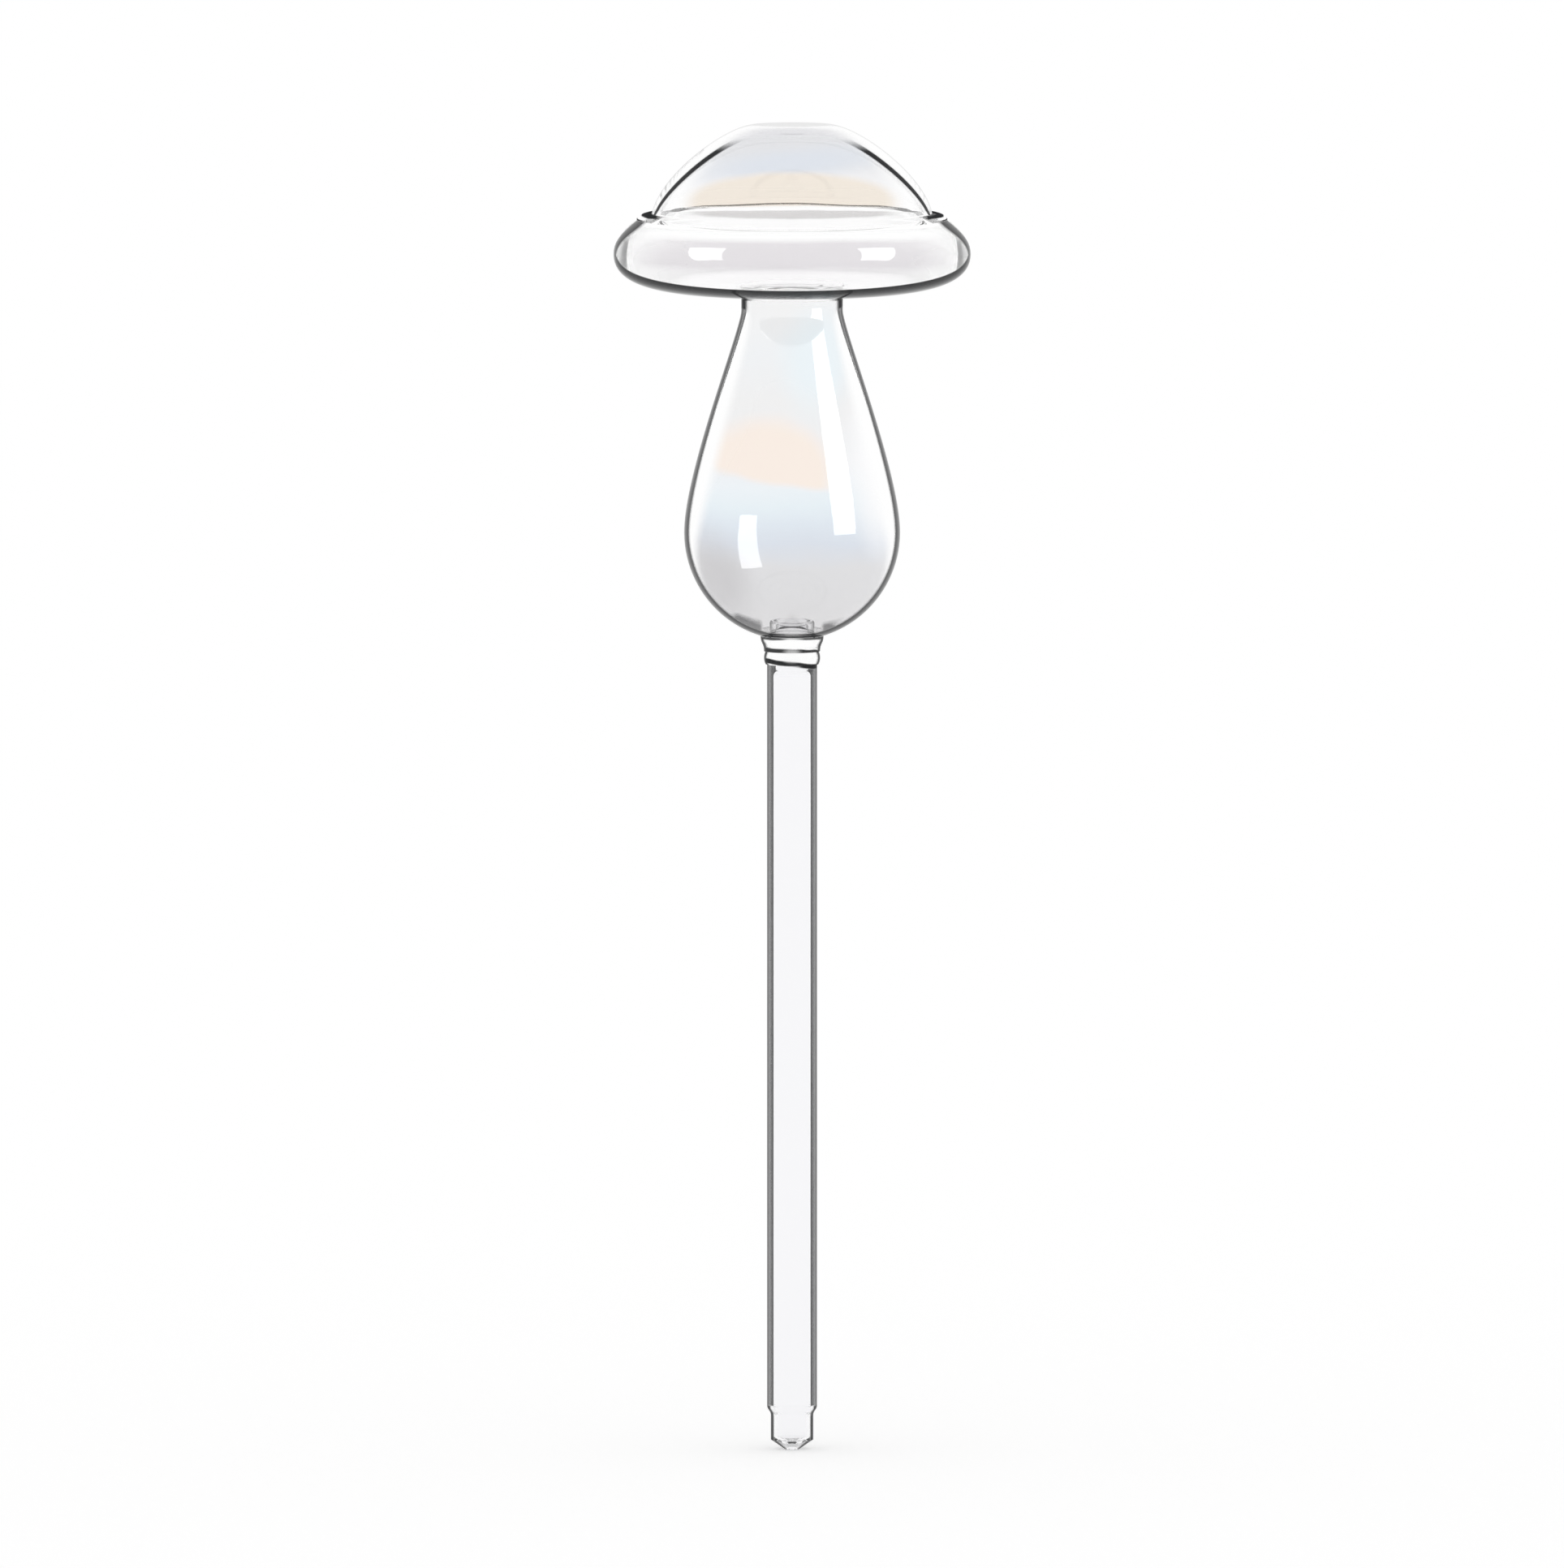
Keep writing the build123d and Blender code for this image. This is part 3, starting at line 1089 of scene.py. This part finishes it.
        # A painted dark ring of shade at the groove where the tube meets the bead
        upper = PaintedShadeRing(self.bead.low + self.groove_rise, width=0.75, shade=0.97, slope=self.groove_lean)
        drawn = GlassFinish("drawn_borosilicate_tube", walls, painted_rings=(upper,), tint="FBFBFC", haze=0.005)
        # At the tip the wall is too fine to read as a band, and only its outline is painted dark
        fine = EdgeShade(rim=0.94, rim_from=0.42, rim_to=0.54, rim_lean=0.22)
        tip = GlassFinish("flame_cut_borosilicate_tip", fine, tint="FBFBFC", haze=0.005)
        # Melted glass has no wall of its own: painted shade darkens its edges and the grooves beside it
        edges = EdgeShade(rim=0.95, rim_from=0.5, rim_to=0.65)
        bead = GlassFinish("melted_borosilicate_bead", edges, painted_rings=(upper,), haze=0.01)
        # Painted dark rings of shade at the collar's groove and at its seat under the bulb
        lower = PaintedShadeRing(
            self.collar.low + self.groove_rise, width=0.7, shade=0.95, slope=self.groove_lean / 2
        )
        seat = PaintedShadeRing(self.collar.low + self.collar_height, width=0.6, shade=0.9)
        collar = GlassFinish("melted_borosilicate_collar", edges, painted_rings=(lower, seat), haze=0.01)
        rows = (
            ("drip_nozzle", Slot.CLEAR, self.nozzle_outline(), tip),
            ("spike_tube", Slot.CLEAR, self.tube_outline(), drawn),
            ("weld_bead", Slot.WELD, self.bead_outline(), bead),
            ("neck_collar", Slot.WELD, self.collar_outline(), collar),
        )
        return {row[0]: self.mount(*row, Steps=NARROW_STEPS) for row in rows}


@dataclass
class StemBulb(SubAssembly):
    """The pear-shaped reservoir and the weld that holds its neck in the brim."""

    wall: float = 1.2
    rise: float = 44.2
    swell: float = 12.0
    neck_curve: float = 3.6
    neck_height: float = 3.2
    weld_throat: float = 0.36
    foot_shade_rise: float = 1.3
    neck_shade_drop: float = 0.5

    def __post_init__(self) -> None:
        """Read the extents of the CAD nodes."""
        self.bulb = Extent.of("stem_bulb")
        self.weld = Extent.of("neck_weld")
        self.collar = Extent.of("neck_collar")
        self.neck = self.weld.high - self.neck_height
        self.belly = self.neck - self.rise

    def bulb_outline(self) -> Outline:
        """Walk the bulb: down its neck, flank and round foot, and back up the inside."""
        hole = TENON_RADIUS + SEAL_GAP
        radius, bore = self.bulb.radius, self.bulb.radius - self.wall
        neck_bore = NECK_RADIUS - self.wall
        flange = -acos(self.collar.radius / radius)
        outline = Outline()
        outline.line(
            (neck_bore, self.bulb.high),
            (NECK_RADIUS, self.bulb.high),
            (NECK_RADIUS, self.weld.low),
            skin=Skin.FUSED,
        )
        outline.line((NECK_RADIUS, self.weld.low), (NECK_RADIUS, self.neck))
        outline.cubic(
            (NECK_RADIUS, self.neck),
            (NECK_RADIUS, self.neck - self.neck_curve),
            (radius, self.belly + self.swell),
            (radius, self.belly),
        )
        outline.arc((0.0, self.belly), radius, 0.0, flange)
        outline.arc((0.0, self.belly), radius, flange, -acos(hole / radius), Skin.FUSED)
        outline.line(outline.points[-1], (hole, self.belly - sqrt(bore**2 - hole**2)), skin=Skin.FUSED)
        outline.arc((0.0, self.belly), bore, -acos(hole / bore), 0.0, Skin.INNER)
        outline.cubic(
            (bore, self.belly),
            (bore, self.belly + self.swell),
            (neck_bore, self.neck - self.neck_curve),
            (neck_bore, self.neck),
            Skin.INNER,
        )
        outline.line((neck_bore, self.neck), (neck_bore, self.weld.low), skin=Skin.INNER)
        # Inside the cap the neck is melted into the brim's floor, and has no wall of its own to see
        return outline.line((neck_bore, self.weld.low), (neck_bore, self.bulb.high), skin=Skin.FUSED)

    def weld_outline(self) -> Outline:
        """Walk the weld: along the neck and the brim, and back over its hollow face."""
        bore = NECK_RADIUS + SEAL_GAP
        high = self.weld.high - SEAL_GAP
        half = (self.weld.radius - NECK_RADIUS) / sqrt(2)
        dip = half - self.weld_throat * sqrt(2)
        radius = (half**2 + dip**2) / (2 * dip)
        reach = self.weld_throat + radius / sqrt(2)
        centre = (NECK_RADIUS + reach, self.weld.high - reach)
        swing, middle = asin(half / radius), 3 * pi / 4
        outline = Outline()
        outline.line((bore, self.weld.low), (bore, high), (self.weld.radius, high), skin=Skin.FUSED)
        return outline.arc(centre, radius, middle - swing, middle + swing)

    def build(self) -> dict[str, Object]:
        """Make the bulb and its weld.

        Returns:
            The pieces by CAD node.
        """
        # The film's blue and peach are its own tints; its greys, darker towards the foot and in a patch at
        # the lower left, are partly painted shade
        film_and_shade = FilmAndShade(
            bands=(
                (162.0, "DAD9DA"),
                (177.0, "DEDEE0"),
                (182.0, "DAE0E9"),
                (186.0, "E0E8F0"),
                (189.5, "E7F0F5"),
                (193.5, "EDF3F7"),
                (198.0, "F0F1F3"),
                (209.5, "F0F0F0"),
                (219.0, "F0F2F4"),
                (230.0, "F3F3F3"),
            ),
            clouds=(
                Cloud(
                    "F9EDE3", across=-4.3, level=196.2, wide=12.0, high=10.2, lean=12, soft=0.22, foot=-0.15
                ),
                Cloud("ECF4F8", across=5.0, level=218.0, wide=6.0, high=9.0, soft=0.6),
                Cloud("FCFCFD", across=19.0, level=200.0, wide=7.0, high=17.0, soft=0.5),
                Cloud("CBCACC", across=-15.5, level=173.5, wide=6.0, high=9.0, lean=-15, soft=0.7),
            ),
            warp=1.6,
            patch=12.0,
            fade_from=0.42,
            fade_to=0.62,
            crown=-0.4,
        )
        # Blown and fumed glass: a painted dark outline and a pearly body that goes from grey to blue and
        # peach
        outline = EdgeShade(
            wall=0.95, line=0.95, line_past=0.0125, line_width=0.005, rim=0.93, rim_from=0.66, rim_to=0.72
        )
        # Painted shade: dark smears at the two sides of the foot, where thick glass is seen edge on, and a
        # darker neck top
        foot = PaintedShadeRing(self.bulb.low + self.foot_shade_rise, width=4.0, shade=0.72, turned=0.52, beside=6.5)
        neck = PaintedShadeRing(self.weld.low - self.neck_shade_drop, width=1.8, shade=0.98, turned=0.55)
        blown = GlassFinish("blown_borosilicate_lustre_bulb", outline, film_and_shade, (foot, neck))
        # The melted weld has no wall of its own, and is painted dark at its edges and where it meets the neck
        edges = EdgeShade(rim=0.95, rim_from=0.4, rim_to=0.6)
        melted = GlassFinish("melted_borosilicate_neck_weld", edges, painted_rings=(neck,), haze=0.01)
        return {
            "stem_bulb": self.mount("stem_bulb", Slot.LUSTRE, self.bulb_outline(), blown),
            "neck_weld": self.mount("neck_weld", Slot.WELD, self.weld_outline(), melted, Steps=NARROW_STEPS),
        }


@dataclass
class Cap(SubAssembly):
    """The mushroom's cap: crown dome, sealing bead and hollow brim."""

    dome_wall: float = 1.6
    dome_rise: float = 17.6
    flat_radius: float = 7.5
    crown: float = 5.3
    flank_in: float = 1.6
    flank_up: float = 7.8
    brim_wall: float = 1.6
    brim_edge_wall: float = 2.6
    mouth_wall: float = 0.08
    brim_depth: float = 8.0
    brim_curl: float = 6.6
    shoulder_out: float = 1.8
    shoulder_down: float = 1.6
    shoulder_round: float = 3.2
    lining_in: float = 0.8
    lining_out: float = 1.45
    lining_down: float = 1.37
    lining_round: float = 2.24
    sweep: float = 14.5
    under_line_rise: float = 0.5
    side_line_drop: float = 0.2
    side_line_beside: float = 27.0

    def __post_init__(self) -> None:
        """Read the extents of the CAD nodes."""
        self.dome = Extent.of("cap_dome")
        self.seam = Extent.of("cap_seam")
        self.brim = Extent.of("cap_brim")
        self.weld = Extent.of("neck_weld")

    def dome_outline(self) -> Outline:
        """Walk the dome: from the axis out over the crown and down, and back up the inside."""
        foot = self.dome.high - self.dome_rise
        low = self.dome.low + SEAL_GAP
        outline = Outline()
        radius, top = self.dome.radius, self.dome.high
        outline.line((0.0, top), (self.flat_radius, top))
        outline.cubic(
            (self.flat_radius, top),
            (self.flat_radius + self.crown, top),
            (radius - self.flank_in, foot + self.flank_up),
            (radius, foot),
        )
        # The seam takes in the whole foot of the wall
        inside = radius - self.dome_wall
        outline.line((radius, foot), (radius, low), (inside, low), (inside, foot), skin=Skin.FUSED)
        radius, top = inside, top - self.dome_wall
        outline.cubic(
            (radius, foot),
            (radius - self.flank_in, foot + self.flank_up),
            (self.flat_radius + self.crown, top),
            (self.flat_radius, top),
            Skin.INNER,
        )
        return outline.line((self.flat_radius, top), (0.0, top), skin=Skin.INNER)

    def seam_outline(self) -> Outline:
        """Walk the seam: out over its bulge, and back along the ledge and up the dome."""
        bore = self.dome.radius + SEAL_GAP
        low = self.seam.low + SEAL_GAP
        top = (bore, self.seam.high)
        outline = Outline()
        outline.quarter(top, (self.seam.radius, self.seam.high), (self.seam.radius, low))
        return outline.line((self.seam.radius, low), (bore, low), top, skin=Skin.FUSED)

    def underside(self, outline: Outline, edge: float, level: float, skin: Skin) -> Outline:
        """Append the bowed underside of the brim, from its edge in to the weld.

        Args:
            outline: The outline that gets the curve.
            edge: The radius of the brim's edge on this skin.
            level: The level of the flat that the curve runs out to.
            skin: The skin that the curve lies on.

        Returns:
            The outline itself.
        """
        rim = self.brim.low + self.brim_depth
        curl = self.brim_curl * (rim - level) / self.brim_depth
        inward = self.weld.radius
        points = ((edge, rim), (edge, rim - curl), (inward + self.sweep, level), (inward, level))
        return outline.cubic(*(points if skin is Skin.OUTER else reversed(points)), skin)

    def brim_outline(self) -> Outline:
        """Walk the brim: out along the ledge, round the edge and under, and back along the inside."""
        rim = self.brim.low + self.brim_depth
        hole = NECK_RADIUS + SEAL_GAP
        mouth = (self.dome.radius - self.dome_wall, self.brim.high)
        ledge, under = self.seam.radius, self.brim.high - self.brim_wall
        floor = self.brim.low + self.brim_wall
        inner_edge = self.brim.radius - self.brim_edge_wall
        outline = Outline()
        outline.line(mouth, (ledge, self.brim.high), skin=Skin.FUSED)
        outline.cubic(
            (ledge, self.brim.high),
            (ledge + self.shoulder_out, self.brim.high - self.shoulder_down),
            (self.brim.radius, rim + self.shoulder_round),
            (self.brim.radius, rim),
        )
        self.underside(outline, self.brim.radius, self.brim.low, Skin.OUTER)
        outline.line((self.weld.radius, self.brim.low), (hole, self.brim.low), (hole, floor), skin=Skin.FUSED)
        outline.line((hole, floor), (self.weld.radius, floor), skin=Skin.INNER)
        self.underside(outline, inner_edge, floor, Skin.INNER)
        # The lining keeps even with the shoulder, so that the wall does not bend sight
        lining = ledge - self.lining_in
        outline.cubic(
            (inner_edge, rim),
            (inner_edge, rim + self.lining_round),
            (lining + self.lining_out, under - self.lining_down),
            (lining, under),
            Skin.INNER,
        )
        # Towards the dome the ledge runs out thin
        thin = (mouth[0], mouth[1] - self.mouth_wall)
        outline.line((lining, under), thin, skin=Skin.INNER)
        return outline.line(thin, mouth, skin=Skin.FUSED)

    def build(self) -> dict[str, Object]:
        """Make the cap's three pieces.

        Returns:
            The pieces by CAD node.
        """
        # Dome film: grey top, a blue streak, then peach; the grey band hanging below the peach is painted
        # shade, other greys partly
        crown_film_and_shade = FilmAndShade(
            bands=(
                (246.5, "FFFFFF"),
                (249.2, "FFFFFF"),
                (255.5, "F0F0F2"),
                (259.0, "E3E4E7"),
                (264.0, "E1E1E4"),
            ),
            clouds=(
                Cloud("DEE3EB", across=0.0, level=257.6, wide=17.0, high=2.4, lean=-5, soft=0.7),
                Cloud("F1E8DC", across=0.0, level=249.6, wide=22.0, high=6.4, soft=0.12, foot=0.0),
                Cloud("DAD8D8", across=0.0, level=248.8, wide=22.0, high=-1.6, soft=0.15, foot=0.0),
            ),
            bow=0.002,
            warp=0.5,
            patch=14.0,
            fade_from=0.03,
            fade_to=0.27,
            crown=0.6,
        )
        # The brim's film: a grey-lilac band across the face, partly painted shade
        brim_film_and_shade = FilmAndShade(
            bands=(
                (230.0, "FFFFFF"),
                (236.4, "FBFAFB"),
                (238.2, "E7E4E7"),
                (242.6, "E7E4E7"),
                (243.6, "FFFFFF"),
                (246.0, "FFFFFF"),
            ),
            warp=0.6,
            patch=30.0,
            fade_from=0.2,
            fade_to=0.75,
        )
        # Blown dome: thick and bright at the edge, with one painted black line, a stroke on the outer skin,
        # where its inner skin turns away
        flank = EdgeShade(
            rim=0.9,
            rim_from=0.86,
            rim_to=0.98,
            rim_lit=(1.1, 1.2),
            stroke=0.98,
            stroke_at=0.83,
            stroke_width=0.05,
            stroke_lean=0.25,
        )
        dome = GlassFinish("blown_borosilicate_lustre_dome", flank, crown_film_and_shade)
        # Rolled brim: painted shade gives grey crescents between two dark lines at its ends, and one line
        # under it
        roll = EdgeShade(
            wall=0.55,
            line=0.85,
            line_past=0.016,
            line_width=0.008,
            wall_lit=(0.35, 0.6),
            rim=0.97,
            rim_from=0.8,
            rim_to=0.83,
            rim_lean=-0.27,
            stroke=0.97,
            stroke_at=0.92,
            stroke_width=0.12,
            stroke_lit=(0.88, 0.96),
            stroke_lean=0.12,
        )
        under = PaintedShadeRing(self.brim.low + self.under_line_rise, width=1.3, shade=0.97, turned=0.4)
        brim = GlassFinish("blown_borosilicate_lustre_brim", roll, brim_film_and_shade, (under,))
        # The seam is one with the glass beside it, and only a painted dark line at its two sides shows
        edges = EdgeShade(rim=0.95, rim_from=0.6, rim_to=0.75, rim_lit=(0.35, 0.6))
        painted_side_line = PaintedShadeRing(self.seam.high - self.side_line_drop, width=0.3, shade=0.97, beside=self.side_line_beside)
        melted = GlassFinish("melted_borosilicate_cap_seam", edges, painted_rings=(painted_side_line,), ior=1.0)
        rows = (
            ("cap_brim", Slot.LUSTRE, self.brim_outline(), brim),
            ("cap_seam", Slot.WELD, self.seam_outline(), melted),
            ("cap_dome", Slot.LUSTRE, self.dome_outline(), dome),
        )
        return {row[0]: self.mount(*row) for row in rows}


def stand(aim: Vector, azimuth: float, elevation: float, distance: float) -> Matrix:
    """Work out where a lamp or a camera stands that faces a point.

    Args:
        aim: The point that it faces.
        azimuth: Degrees to the right of the object's front.
        elevation: Degrees above the point.
        distance: Metres from the point.

    Returns:
        The place and the turn.
    """
    turn, lift = radians(azimuth), radians(elevation)
    away = Vector((sin(turn) * cos(lift), -cos(turn) * cos(lift), sin(lift)))
    return Matrix.Translation(aim + away * distance) @ away.to_track_quat("Z", "Y").to_matrix().to_4x4()


@dataclass(frozen=True)
class Softbox:
    """A lit white panel that one piece of glass mirrors, set by the angles that it fills, in degrees."""

    name: str
    mirror: str
    azimuth: tuple[float, float]
    elevation: tuple[float, float]
    roll: float = 0.0
    brightness: float = 7.0
    distance: float = 0.6

    def hang(self, piece: Object) -> None:
        """Put the panel up, facing the piece, and let only that piece mirror it.

        Args:
            piece: The piece that mirrors the panel.
        """
        lamp = bpy.data.lights.new(self.name, "AREA")
        lamp.shape = "RECTANGLE"
        lamp.size = 2 * self.distance * tan(radians(self.azimuth[1] - self.azimuth[0]) / 2)
        lamp.size_y = 2 * self.distance * tan(radians(self.elevation[1] - self.elevation[0]) / 2)
        lamp.energy = self.brightness * lamp.size * lamp.size_y * pi
        panel = bpy.data.objects.new(self.name, lamp)
        low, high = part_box(self.mirror)
        aim = Vector((0.0, 0.0, (low.z + high.z) / 2))
        place = stand(aim, sum(self.azimuth) / 2, sum(self.elevation) / 2, self.distance)
        panel.matrix_world = place @ Matrix.Rotation(radians(self.roll), 4, "Z")
        panel.visible_camera = False
        panel.visible_transmission = False
        panel.visible_diffuse = False
        mirrors = bpy.data.collections.new(f"{self.name}_mirror")
        mirrors.objects.link(piece)
        panel.light_linking.receiver_collection = mirrors
        bpy.context.scene.collection.objects.link(panel)


@dataclass(frozen=True)
class Studio:
    """A pale room: white backdrop, pale floor, soft panels and a long lens."""

    lens: float = 600.0
    sensor: float = 36.0
    frame_height: float = 311.6
    elevation: float = 5.0
    aim: tuple[float, float, float] = (-2.0, 0.0, 132.9)
    floor_size: float = 6.0
    room_light: float = 0.75
    floor_colour: str = "EFEFEF"
    bounces: int = 32

    def light_room(self) -> None:
        """Make the world: white where it is seen, mirrored or seen through glass, and softer as a light."""
        world = bpy.data.worlds.new("pale_studio")
        bpy.context.scene.world = world
        tree = bare_tree(world)
        strength = add_node(
            tree, "ShaderNodeMix", {"Factor": self.seen(tree), "A": self.room_light, "B": 1.0}
        )
        light = add_node(tree, "ShaderNodeBackground", {"Color": linear("FFFFFF"), "Strength": strength})
        add_node(tree, "ShaderNodeOutputWorld", {"Surface": light})

    @staticmethod
    def seen(tree: NodeTree) -> Node:
        """Add the nodes that tell sight from light.

        Args:
            tree: The tree of the world or the floor.

        Returns:
            The node that gives 1 for what is looked at, straight on, mirrored or through glass.
        """
        ray = add_node(tree, "ShaderNodeLightPath")
        seen: Node | NodeSocket = ray.outputs["Is Camera Ray"]
        for way in ("Is Glossy Ray", "Is Transmission Ray"):
            seen = add_node(tree, "ShaderNodeMath", {0: seen, 1: ray.outputs[way]}, operation="MAXIMUM")
        return seen

    def lay_floor(self) -> None:
        """Make the floor: matt and pale, lit to white by the room, with the globe's soft shadow."""
        half = self.floor_size / 2
        mesh = bpy.data.meshes.new("studio_floor")
        corners = [(-half, -half, 0), (half, -half, 0), (half, half, 0), (-half, half, 0)]
        mesh.from_pydata(corners, [], [range(len(corners))])
        floor = bpy.data.objects.new("studio_floor", mesh)
        bpy.context.scene.collection.objects.link(floor)
        material = bpy.data.materials.new("matt_white_paper")
        tree = bare_tree(material)
        matt = linear(self.floor_colour)
        lack = 1 - matt[0] * self.room_light
        glow = add_node(tree, "ShaderNodeMath", {0: self.seen(tree), 1: lack}, operation="MULTIPLY")
        paper = add_node(tree, "ShaderNodeBsdfDiffuse", {"Color": matt})
        backlight = add_node(tree, "ShaderNodeEmission", {"Color": linear("FFFFFF"), "Strength": glow})
        lit = add_node(tree, "ShaderNodeAddShader", {0: paper, 1: backlight})
        # From below the paper is not there, so that the globe is seen from under it too
        gone = add_node(tree, "ShaderNodeBsdfTransparent")
        behind = add_node(tree, "ShaderNodeNewGeometry").outputs["Backfacing"]
        sheet = add_node(tree, "ShaderNodeMixShader", {0: behind, 1: lit, 2: gone})
        add_node(tree, "ShaderNodeOutputMaterial", {"Surface": sheet})
        mesh.materials.append(material)

    def hang_panels(self, pieces: Mapping[str, Object]) -> None:
        """Hang the soft panels that draw the highlights on the bulb and the brim.

        Args:
            pieces: The pieces by CAD node.
        """
        for panel in (
            Softbox("brim_right", "cap_brim", azimuth=(51.7, 73.5), elevation=(9.8, 51.5), roll=-22.4),
            Softbox("brim_left", "cap_brim", azimuth=(-73.5, -51.7), elevation=(9.8, 51.5), roll=22.4),
            Softbox("bulb_right", "stem_bulb", azimuth=(44, 72), elevation=(-1, 46)),
            Softbox(
                "bulb_left", "stem_bulb", azimuth=(-49, -31), elevation=(-38, 0), roll=3.0, distance=0.06
            ),
        ):
            panel.hang(pieces[panel.mirror])

    def set_camera(self) -> None:
        """Set the camera in front of the object, looking slightly down."""
        camera = bpy.data.cameras.new("studio_camera")
        camera.lens = self.lens
        camera.sensor_width = self.sensor
        eye = bpy.data.objects.new("studio_camera", camera)
        distance = self.frame_height * MM * self.lens / self.sensor
        eye.matrix_world = stand(Vector(self.aim) * MM, 0.0, self.elevation, distance)
        bpy.context.scene.collection.objects.link(eye)
        bpy.context.scene.camera = eye

    def build(self, pieces: Mapping[str, Object]) -> None:
        """Set up the room and the camera.

        Args:
            pieces: The pieces by CAD node.
        """
        scene = bpy.context.scene
        scene.view_settings.view_transform = "Standard"
        # Light that runs along inside a wall of glass turns many times before it leaves
        scene.cycles.max_bounces = self.bounces
        scene.cycles.glossy_bounces = self.bounces
        scene.cycles.transmission_bounces = self.bounces
        self.light_room()
        self.lay_floor()
        self.hang_panels(pieces)
        self.set_camera()


def main() -> None:
    """Build the globe from the tip up, and the studio round it."""
    logging.basicConfig(level=logging.INFO, format="%(name)s: %(message)s")
    lathe = Lathe()
    pieces: dict[str, Object] = {}
    for part in (Spike(lathe), StemBulb(lathe), Cap(lathe)):
        pieces.update(part.build())
    Studio().build(pieces)


if __name__ == "__main__":
    main()
